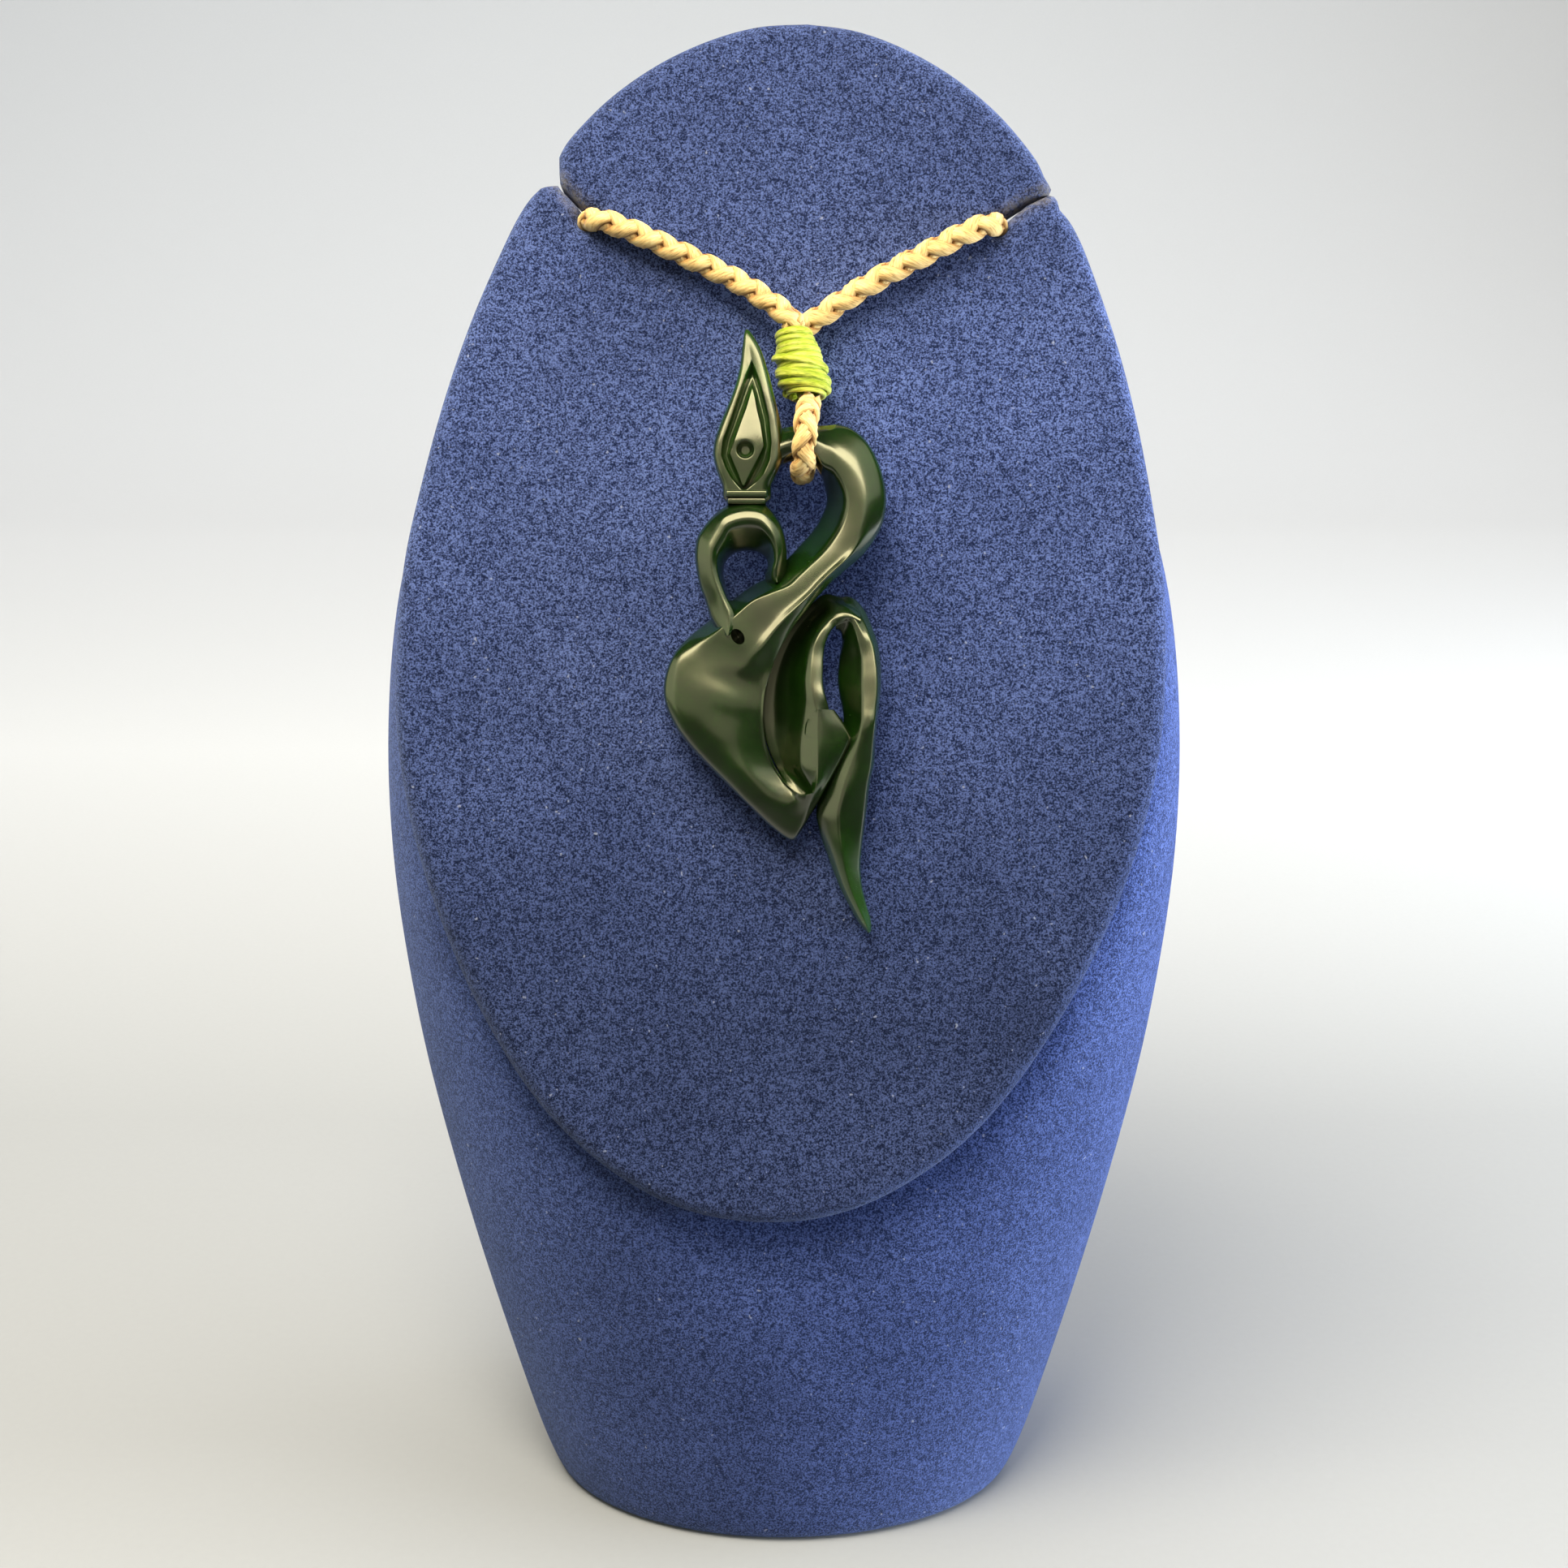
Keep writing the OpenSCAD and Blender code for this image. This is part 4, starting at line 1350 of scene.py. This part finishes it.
@dataclass
class Manaia:
    """The carving, drawn a little larger than life, flat on its back, its cord eye's middle at 0, 0."""

    eye: tuple = (1.4, 31.7, 3.2)
    tilt: float = math.radians(3.3)
    scale: float = 0.9784
    # Arched neck, shoulder, wing, and the facet that closes the hollow on its right
    spine: Ribbon = field(default_factory=lambda: Ribbon(
        "spine",
        (
            (-2.2, 11.4, -2.2, 6.6, 0), (-0.6, 11.7, -0.6, 7.6, 0.5), (1, 11.8, 1, 8, 0.9),
            (2.6, 11.8, 2.3, 7.3, 1), (4, 11.85, 3, 6, 1), (5.3, 11.9, 3.4, 5.2, 1.4),
            (7.1, 11.2, 3.6, 4.5, 2), (9, 9.4, 3.8, 3.7, 2.4), (10.4, 6.5, 3.9, 2.9, 2.9),
            (11.1, 3.2, 3.8, 2.2, 3.4), (10.8, 0.2, 3.4, 1.2, 3.8), (9.8, -2, 2.7, -0.2, 4.2),
            (8.3, -4, 1.6, -1.6, 4.6), (6.7, -5.4, 0.4, -2.9, 5), (5.3, -6.6, -0.8, -4.2, 5.2),
            (3.8, -8, -2, -5.5, 5.6), (2.5, -9.4, -3.2, -6.6, 6), (1.2, -11, -5, -7.5, 6.5),
            (-0.1, -12.6, -6.8, -8.7, 7), (-1.4, -14.6, -8.7, -10.2, 7.5), (-2.4, -16.6, -10.8, -12.1, 8),
            (-3.2, -18.8, -13.2, -14.1, 9), (-3.8, -21, -15.1, -16.3, 10), (-4, -23.2, -16.2, -19.2, 11),
            (-4, -25.2, -16.2, -22, 12), (-3.7, -27.2, -15.1, -24.8, 12.7), (-3.1, -29, -13.5, -27.2, 13.4),
            (-2.2, -30.8, -11.2, -29.7, 14), (-1.2, -32.2, -8.6, -32.3, 14.5), (-0.3, -33, -5.8, -35.1, 15),
            (0.4, -33.4, -3.2, -37.6, 15.6), (1, -33.5, -0.6, -39.4, 16), (1.6, -33.4, 0.6, -38.4, 16.4),
            (2.1, -33.2, 2.2, -35.8, 17), (2, -32.4, 3.7, -32.9, 18), (1.8, -31, 5, -30.6, 18.5),
            (1.4, -28.5, 6.1, -28.6, 19), (1.1, -26, 6.9, -26.7, 19.4), (1.4, -24.2, 6.1, -24.9, 20),
            (1.9, -22.9, 4.8, -23.1, 20),
        ),
        (
            (2.4, 0.2, 3.6, 0.8, 0.45, 4.2, 0.8, 0.6, 4.2, 0.8, 0.85, 3.6, 0.8, 2.2),
            (2.6, 0.12, 3.6, 0.7, 0.3, 4.5, 0.5, 0.46, 5, 0.5, 0.84, 5.1, 0.4, 3),
            (3.3, 0.05, 3.8, 0.7, 0.34, 4.75, 0.6, 0.52, 5.1, 0.6, 0.75, 5, 0.4, 1.4),
            (3.4, 0.05, 3.9, 0.8, 0.28, 4.95, 0.95, 0.44, 5.25, 0.95, 0.68, 5.2, 0.4, 1),
            (3.5, 0.05, 4.1, 0.8, 0.22, 5.1, 0.8, 0.36, 5.5, 0.8, 0.64, 5.2, 0.4, 0.8),
            (3.4, 0.06, 4.9, 0.7, 0.14, 5.95, 0.4, 0.24, 5.55, 0.5, 0.57, 5.35, 0.4, 0.8),
            (4.4, 0.06, 5.3, 0.7, 0.13, 5.95, 0.4, 0.24, 5.5, 0.6, 0.6, 5.35, 0.4, 0.8),
            (4.8, 0.07, 5.5, 0.7, 0.18, 5.9, 0.4, 0.3, 5.4, 0.7, 0.76, 5.1, 0.15, 1),
            (4.8, 0.08, 5.1, 0.7, 0.22, 5.7, 0.5, 0.36, 5.2, 0.7, 0.8, 4.8, 0.15, 1.2),
            (4.6, 0.08, 4.65, 0.6, 0.25, 5.1, 0.8, 0.42, 4.7, 0.8, 0.84, 4.35, 0.5, 2.8),
            (4.6, 0.03, 4.4, 0.2, 0.36, 4.7, 0.9, 0.6, 4.7, 0.8, 0.9, 4.28, 0.8, 3.5),
            (4.4, 0.03, 4.2, 0.2, 0.38, 5.1, 0.9, 0.62, 5.05, 0.8, 0.9, 4.35, 0.8, 3.5),
            (4.1, 0.03, 3.85, 0.2, 0.32, 4.75, 0.9, 0.62, 5.05, 0.8, 0.9, 4.4, 0.8, 3.5),
            (3.6, 0.035, 3.3, 0.15, 0.31, 4.4, 0.9, 0.6, 4.8, 0.8, 0.9, 4.3, 0.8, 3.4),
            (3.3, 0.035, 2.85, 0.15, 0.4, 4.1, 0.9, 0.62, 4.2, 0.8, 0.9, 3.9, 0.8, 3.2),
            (3.6, 0.05, 3, 0.2, 0.42, 3.45, 0.9, 0.62, 3.5, 0.9, 0.9, 3.2, 0.9, 2.6),
            (4.4, 0.2, 3.7, 0.7, 0.45, 2.9, 0.9, 0.65, 2.6, 0.9, 0.88, 2.2, 0.8, 1.6),
            (4.7, 0.15, 4.4, 0.6, 0.35, 3.9, 0.8, 0.6, 3.2, 0.8, 0.88, 2.6, 0.6, 1.8),
            (4, 0.28, 4.9, 0.2, 0.5, 4.6, 0.8, 0.7, 4.2, 0.6, 0.9, 3.9, 0.5, 3),
            (3.9, 0.28, 5, 0.15, 0.5, 4.7, 0.8, 0.75, 4.3, 0.6, 0.93, 4, 0.5, 3.2),
            (3.9, 0.28, 5, 0.15, 0.5, 4.8, 0.8, 0.75, 4.5, 0.6, 0.93, 4.3, 0.5, 3.6),
        ),
        (0.22, 0.6),
    ))
    # The loop's left arm, whose outer side falls into the hollow
    rim: Ribbon = field(default_factory=lambda: Ribbon(
        "rim",
        (
            (0.3, -34, 2.9, -33.4, 0), (-1.2, -32.4, 3.5, -32.2, 0.4), (-2.2, -30.6, 4.2, -30.5, 1),
            (-3.1, -28.7, 4.2, -28.5, 1.3), (-3.8, -26.6, 4.2, -26.3, 1.7), (-4.1, -24.6, 4.3, -24.4, 2),
            (-4.1, -22.7, 4.1, -22.8, 2.6), (-3.9, -21, 3.7, -21.4, 3), (-3.5, -19, 3.4, -19.8, 3.3),
            (-2.9, -17.2, 3.4, -18, 3.6), (-2.1, -15.5, 3.5, -16, 4), (-1, -13.6, 3.8, -14.6, 4.2),
            (0.4, -11.8, 4.3, -13.5, 4.5), (2, -10, 4.9, -12.8, 5), (3.6, -8.8, 5.6, -12.4, 5.5),
            (5.2, -9, 6.4, -12.1, 6), (6.6, -9.3, 7.1, -12.2, 6), (8, -10.2, 8, -12.6, 6),
        ),
        (
            (2.5, 0.3, 2.6, 0.8, 0.5, 2.8, 0.8, 0.7, 3.6, 0.8, 0.84, 4.4, 0.3, 3.8),
            (0.4, 0.15, 0.8, 0.5, 0.3, 1.8, 0.6, 0.46, 3.7, 0.6, 0.78, 4.9, 0.2, 3.8),
            (0.4, 0.2, 0.5, 0.5, 0.42, 1.6, 0.6, 0.6, 3.6, 0.6, 0.82, 4.8, 0.25, 3.9),
            (0.4, 0.2, 0.5, 0.5, 0.45, 1.6, 0.6, 0.68, 4, 0.6, 0.8, 4.5, 0.4, 4.4),
            (0.4, 0.2, 0.5, 0.5, 0.42, 1.3, 0.6, 0.64, 3.2, 0.6, 0.77, 3.65, 0.5, 3.55),
            (0.4, 0.2, 0.6, 0.5, 0.4, 1.1, 0.6, 0.64, 2.7, 0.6, 0.78, 3.15, 0.6, 3.05),
            (0.6, 0.2, 1.2, 0.8, 0.42, 2.4, 0.6, 0.68, 3.1, 0.6, 0.86, 3.2, 0.5, 2.8),
        ),
        (0.5, 0.4),
    ))
    # The loop's right arm and the tail
    tail: Ribbon = field(default_factory=lambda: Ribbon(
        "tail",
        (
            (4.8, -9.8, 5, -13.2, 0), (6.2, -9, 5.6, -13.5, 0.4), (7.5, -9.5, 5.8, -14.5, 1),
            (8.7, -11, 5.7, -15.5, 1.4), (9.6, -13.2, 5.5, -16.5, 1.8), (10.2, -15, 5.4, -17.5, 2),
            (10.5, -17, 5.3, -18.6, 2.35), (10.6, -19, 5.3, -19.8, 2.7), (10.5, -21, 5.5, -21.3, 3),
            (10.3, -22.8, 5.8, -22.8, 3.5), (10.1, -24.8, 6, -24.5, 4), (9.9, -27, 5.6, -26.5, 4.4),
            (9.7, -29.8, 4.6, -29.5, 5), (9.2, -32.5, 3.4, -32.5, 5.5), (8.9, -35, 2.6, -35.8, 6),
            (8.6, -37.5, 2.9, -38, 6.5), (8.3, -40, 3.7, -40.5, 7), (8.1, -42.5, 4.6, -43, 7.3),
            (8.3, -45, 5.7, -45.7, 7.6), (8.8, -47.3, 6.9, -48, 7.8), (9.4, -49.3, 8, -49.9, 8),
            (9.5, -50.8, 8.9, -51, 8),
        ),
        (
            (0.6, 0.2, 1.2, 0.7, 0.42, 2.4, 0.6, 0.68, 3.1, 0.6, 0.86, 3, 0.5, 2.4),
            (0.8, 0.18, 1.8, 0.7, 0.38, 3.1, 0.5, 0.5, 3, 0.5, 0.62, 2.4, 0.5, 0.8),
            (2, 0.13, 3.4, 0.5, 0.3, 3.4, 0.6, 0.44, 3.2, 0.5, 0.56, 2.5, 0.6, 0.7),
            (3, 0.09, 4.3, 0.5, 0.3, 4.3, 0.6, 0.46, 4.05, 0.5, 0.6, 3.2, 0.6, 0.7),
            (3, 0.08, 4.7, 0.5, 0.3, 4.9, 0.6, 0.5, 4.6, 0.6, 0.66, 3.4, 0.6, 1.2),
            (2.6, 0.07, 3.6, 0.5, 0.3, 4, 0.8, 0.52, 4.05, 0.6, 0.8, 3.3, 0.7, 1.9),
            (2.3, 0.06, 2.8, 0.5, 0.3, 3.4, 0.8, 0.56, 3.9, 0.35, 0.8, 3.1, 0.8, 1.9),
            (1.9, 0.06, 2.3, 0.5, 0.3, 2.9, 0.8, 0.57, 3.5, 0.35, 0.8, 2.9, 0.8, 1.8),
            (1, 0.08, 1.2, 0.5, 0.3, 1.6, 0.8, 0.5, 2, 0.35, 0.8, 1.6, 0.7, 1.1),
        ),
        (0.4, 0.6),
    ))
    # The crescent under the head
    beak: Ribbon = field(default_factory=lambda: Ribbon(
        "beak",
        (
            (-8.9, -14, -7.9, -13.9, 0), (-9.7, -13.2, -7.2, -12.9, 0.3), (-10.5, -11.8, -7, -11.2, 0.7),
            (-11.1, -9.8, -8, -9.3, 1), (-11.8, -7.9, -8.5, -8.1, 1), (-12.2, -6, -8.9, -6.7, 1.2),
            (-12.4, -4.1, -8.9, -5.5, 1.5), (-12.2, -2.2, -8.6, -4.7, 1.8), (-11.6, -1, -8.1, -4.1, 2),
            (-10.6, 0.3, -7.5, -3.7, 2.4), (-9.4, 1.4, -6.9, -3.5, 3), (-8, 2.2, -6.3, -3.4, 3),
            (-6, 2.6, -5.7, -3.4, 3), (-4, 2.3, -5, -3.5, 3), (-2.8, 1.2, -4.4, -3.7, 3.2),
            (-1.9, -0.1, -3.8, -4.2, 3.5), (-1.4, -1.5, -3.5, -4.8, 4), (-1.1, -3.1, -3.5, -5.6, 4.2),
            (-1.1, -4.8, -3.8, -6.5, 4.5), (-1.2, -6.2, -3.6, -7.3, 5), (-1.7, -7.2, -2.9, -7.7, 5),
        ),
        (
            (3.6, 0.1, 4.4, 0.6, 0.4, 5.1, 0.7, 0.62, 5.3, 0.4, 0.86, 4.9, 0.4, 3.4),
            (3.3, 0.08, 3.8, 0.7, 0.45, 4.7, 0.9, 0.66, 5, 0.4, 0.86, 4.8, 0.4, 2),
            (3.4, 0.08, 4, 0.7, 0.36, 4.85, 0.7, 0.54, 5.1, 0.6, 0.72, 4.6, 0.6, 1.7),
            (3.4, 0.06, 4.1, 0.6, 0.22, 4.95, 0.4, 0.38, 5.2, 0.4, 0.52, 5.05, 0.4, 1.6),
            (3.5, 0.04, 4.1, 0.6, 0.16, 4.6, 0.5, 0.46, 5.05, 0.5, 0.64, 4.5, 0.5, 1.6),
            (2.8, 0.1, 3.3, 0.8, 0.3, 3.9, 0.7, 0.48, 4.3, 0.5, 0.7, 3.8, 0.6, 2),
        ),
    ))
    # One bearing from the eye each: u and v of the outline, of the groove's outer edge and of the kite's
    # edge, and the share of the full height
    head_rows: tuple = (
        (-6, 23.5, -5.3, 19.4, -5.3, 16.2, 0.66), (-4.4, 21.3, -4.9, 18.4, -5.2, 15.8, 0.72),
        (-3.4, 18.4, -4.4, 17, -5, 15, 0.79), (-2.7, 15.7, -3.9, 15.3, -4.75, 13.6, 0.86),
        (-2, 12.9, -3.3, 12.8, -4.3, 11.8, 0.91), (-1.5, 10, -3, 9.5, -3.9, 9.1, 0.97),
        (-1.6, 7.8, -3.2, 7.4, -4.6, 7.7, 1), (-2.3, 5.9, -3.9, 5.8, -5.4, 6.2, 1.03),
        (-3, 4.4, -4.8, 4.8, -6, 5, 1.02), (-3.5, 2.4, -6.1, 3.9, -6.3, 4.3, 1),
        (-8.4, 2.4, -6.6, 3.9, -6.5, 4.3, 1), (-9, 4.3, -7.8, 5.2, -6.9, 5.5, 1.02),
        (-9.7, 6.2, -8.6, 6.6, -7.5, 6.9, 1.03), (-10.1, 8.2, -9.1, 8, -8, 8.2, 1),
        (-9.9, 9.9, -8.9, 9.9, -7.4, 9.9, 0.97), (-9.2, 12, -8.1, 12, -6.7, 11.9, 0.92),
        (-8.2, 14.4, -7.3, 14.4, -6, 13.8, 0.87), (-7.4, 16.6, -6.6, 16.4, -5.65, 15, 0.83),
        (-6.8, 19, -6, 18, -5.45, 15.7, 0.78), (-6.5, 21.5, -5.55, 18.9, -5.35, 16.05, 0.72),
    )
    head_eye: tuple = (-6.15, 8.7)
    # Lines from the back up and in: between which columns, share between them, height, softness of its corner
    head_lines: tuple = (
        (0, 2, 0, 0, 0), (0, 2, 0, 3.8, 0.3), (0, 2, 0.3, 4.4, 0.9), (0, 2, 0.97, 4.56, 0.2),
        (2, 4, 0.4, 3.2, 0.5), (2, 4, 0.62, 3.25, 0.5),
    )
    # The kite's plane: height at the eye, fall per millimetre above and below it, reach of its level middle
    kite: tuple = (4.7, 0.135, 0.05, 1.2)
    # The drilled eye inside the kite: radius, height, softness
    eye_lines: tuple = (
        (1.3, 4.7, 0.4), (1.12, 4.68, 0.3), (0.9, 4.42, 0.3), (0.8, 3.6, 0.3), (0.5, 3.3, 0.3),
    )
    # Bands between head and crescent: height over the eye, half width, top, half thickness
    collar: tuple = ((3.35, 2.55, 5.15, 0.42), (2.5, 2.35, 4.7, 0.36))
    collar_middle: float = -6.0
    # The drilled pit beside the crescent's tip: its middle, half sizes, and turn
    pit: tuple = (-7.1, -14.1, 5.0)
    pit_size: tuple = (0.75, 1.05, 3.4)
    pit_turn: float = math.radians(35)

    def build(self) -> None:
        """Carve the parts, make them one stone, and hand it over."""
        bands = [band.build() for band in (self.spine, self.rim, self.tail, self.beak)]
        stone = self.united(bands + [self.head(), *self.collars()])
        self.mark_painted_glow(stone)
        place = FACE @ Matrix.Translation(Vector(self.eye)) @ Matrix.Rotation(self.tilt, 4, "X")
        place = place @ Matrix.Scale(self.scale, 4)
        finish_piece(stone, JadeFinish().build(), ["manaia"], place, sharp_above=32)

    def head(self) -> Object:
        """Carve the leaf-shaped head with its kite and drilled eye.

        Returns:
            The head.
        """
        smooth = eased(self.head_rows, 4, closed=True)
        straight = [
            [a + (b - a) * k / 4 for a, b in zip(row, self.head_rows[(i + 1) % len(self.head_rows)])]
            for i, row in enumerate(self.head_rows) for k in range(4)
        ]
        spokes = [self.spoke([*a[:2], *b[2:]]) for a, b in zip(smooth, straight)]
        bm = bmesh.new()
        loft(bm, list(zip(*spokes)))
        return baked("head", bm, 0)

    def spoke(self, row: Sequence[float]) -> Ring:
        """Draw the head's surface on one bearing.

        Args:
            row: The bearing's row.

        Returns:
            Points from the outline's foot up and in to the bottom of the eye.
        """
        eye = Vector(self.head_eye)
        points, soft = [], []
        for a, b, share, height, softness in self.head_lines:
            spot = Vector(row[a:a + 2]).lerp(Vector(row[b:b + 2]), share)
            points.append(Vector((*spot, min(height, 2.0) + (height - min(height, 2.0)) * row[6])))
            soft.append(softness)
        level, above, below, reach = self.kite
        rise = row[5] - eye.y
        fall = above * max(0.0, rise - reach) + below * max(0.0, -rise - reach)
        points.append(Vector((*row[4:6], level - fall)))
        soft.append(0.1)
        out = (Vector(row[4:6]) - eye).normalized()
        for radius, height, softness in self.eye_lines:
            points.append(Vector((*(eye + out * radius), height)))
            soft.append(softness)
        return rounded(points, soft[1:-1], 3)

    def collars(self) -> list[Object]:
        """Carve the thin bands that tie the head to the crescent.

        Returns:
            The bands.
        """
        made = []
        for v, half, top, thick in self.collar:
            bm = bmesh.new()
            bmesh.ops.create_cube(bm, size=1.0)
            bmesh.ops.scale(bm, vec=(2 * half, 2 * thick, top), verts=bm.verts[:])
            bmesh.ops.translate(bm, vec=(self.collar_middle, v, top / 2), verts=bm.verts[:])
            edges = [e for e in bm.edges if all(w.co.z > top / 2 for w in e.verts)]
            bmesh.ops.bevel(
                bm, geom=edges, offset=thick * 0.7, segments=4, profile=0.5, affect="EDGES", material=-1,
                clamp_overlap=True,
            )
            made.append(baked("collar", bm, 0))
        return made

    def pit_cutter(self) -> Object:
        """Make what the drill took out beside the crescent's tip.

        Returns:
            The solid to cut away.
        """
        bm = bmesh.new()
        bmesh.ops.create_uvsphere(bm, u_segments=24, v_segments=16, radius=1.0)
        bmesh.ops.scale(bm, vec=self.pit_size, verts=bm.verts[:])
        turn = Matrix.Rotation(self.pit_turn, 3, "Z")
        bmesh.ops.rotate(bm, cent=(0, 0, 0), matrix=turn, verts=bm.verts[:])
        bmesh.ops.translate(bm, vec=self.pit, verts=bm.verts[:])
        return baked("pit_cutter", bm, 0)

    def united(self, parts: Sequence[Object]) -> Object:
        """Join overlapping solids and cut out the pit.

        Args:
            parts: The solids.

        Returns:
            One closed stone.
        """
        stone, others = parts[0], parts[1:]
        pit = self.pit_cutter()
        for other in [*others, pit]:
            cut = stone.modifiers.new(other.name, "BOOLEAN")
            cut.operation = "DIFFERENCE" if other is pit else "UNION"
            cut.solver = "MANIFOLD"
            cut.object = other
        apply_modifiers(stone)
        for other in [*others, pit]:
            bpy.data.objects.remove(other)
        stone.name = "manaia_stone"
        return stone

    def mark_painted_glow(self, stone: Object) -> None:
        """Say how much painted glow each vertex gets: painted light through the stone, most in its tips, and
        painted light in the head's groove.

        Args:
            stone: The stone, which gets the attribute painted_glow.
        """
        tail_from, tail_long, head_from, head_long = -38.0, 11.0, 17.5, 6.0
        values = []
        for x, y, z in (vert.co for vert in stone.data.vertices):
            tail = max(0.0, min(1.0, (tail_from - y) / tail_long))
            head = max(0.0, min(1.0, (y - head_from) / head_long))
            # painted light in the head's groove
            in_groove = 5.0 < y < 19.0 and x < -2.6 and z < 4.0
            values.append(max(0.55 * tail, 0.5 * head, 0.6 if in_groove else 0.0))
        stone.data.attributes.new("painted_glow", "FLOAT", "POINT").data.foreach_set("value", values)


def main() -> None:
    """Build everything in order."""
    logging.basicConfig(level=logging.INFO, format="%(name)s: %(message)s")
    Studio().build()
    binding = Binding().build()
    knot = ClosingKnot().build()
    NeckCord().build([binding, knot])
    NeckBust().build()
    Manaia().build()


if __name__ == "__main__":
    main()
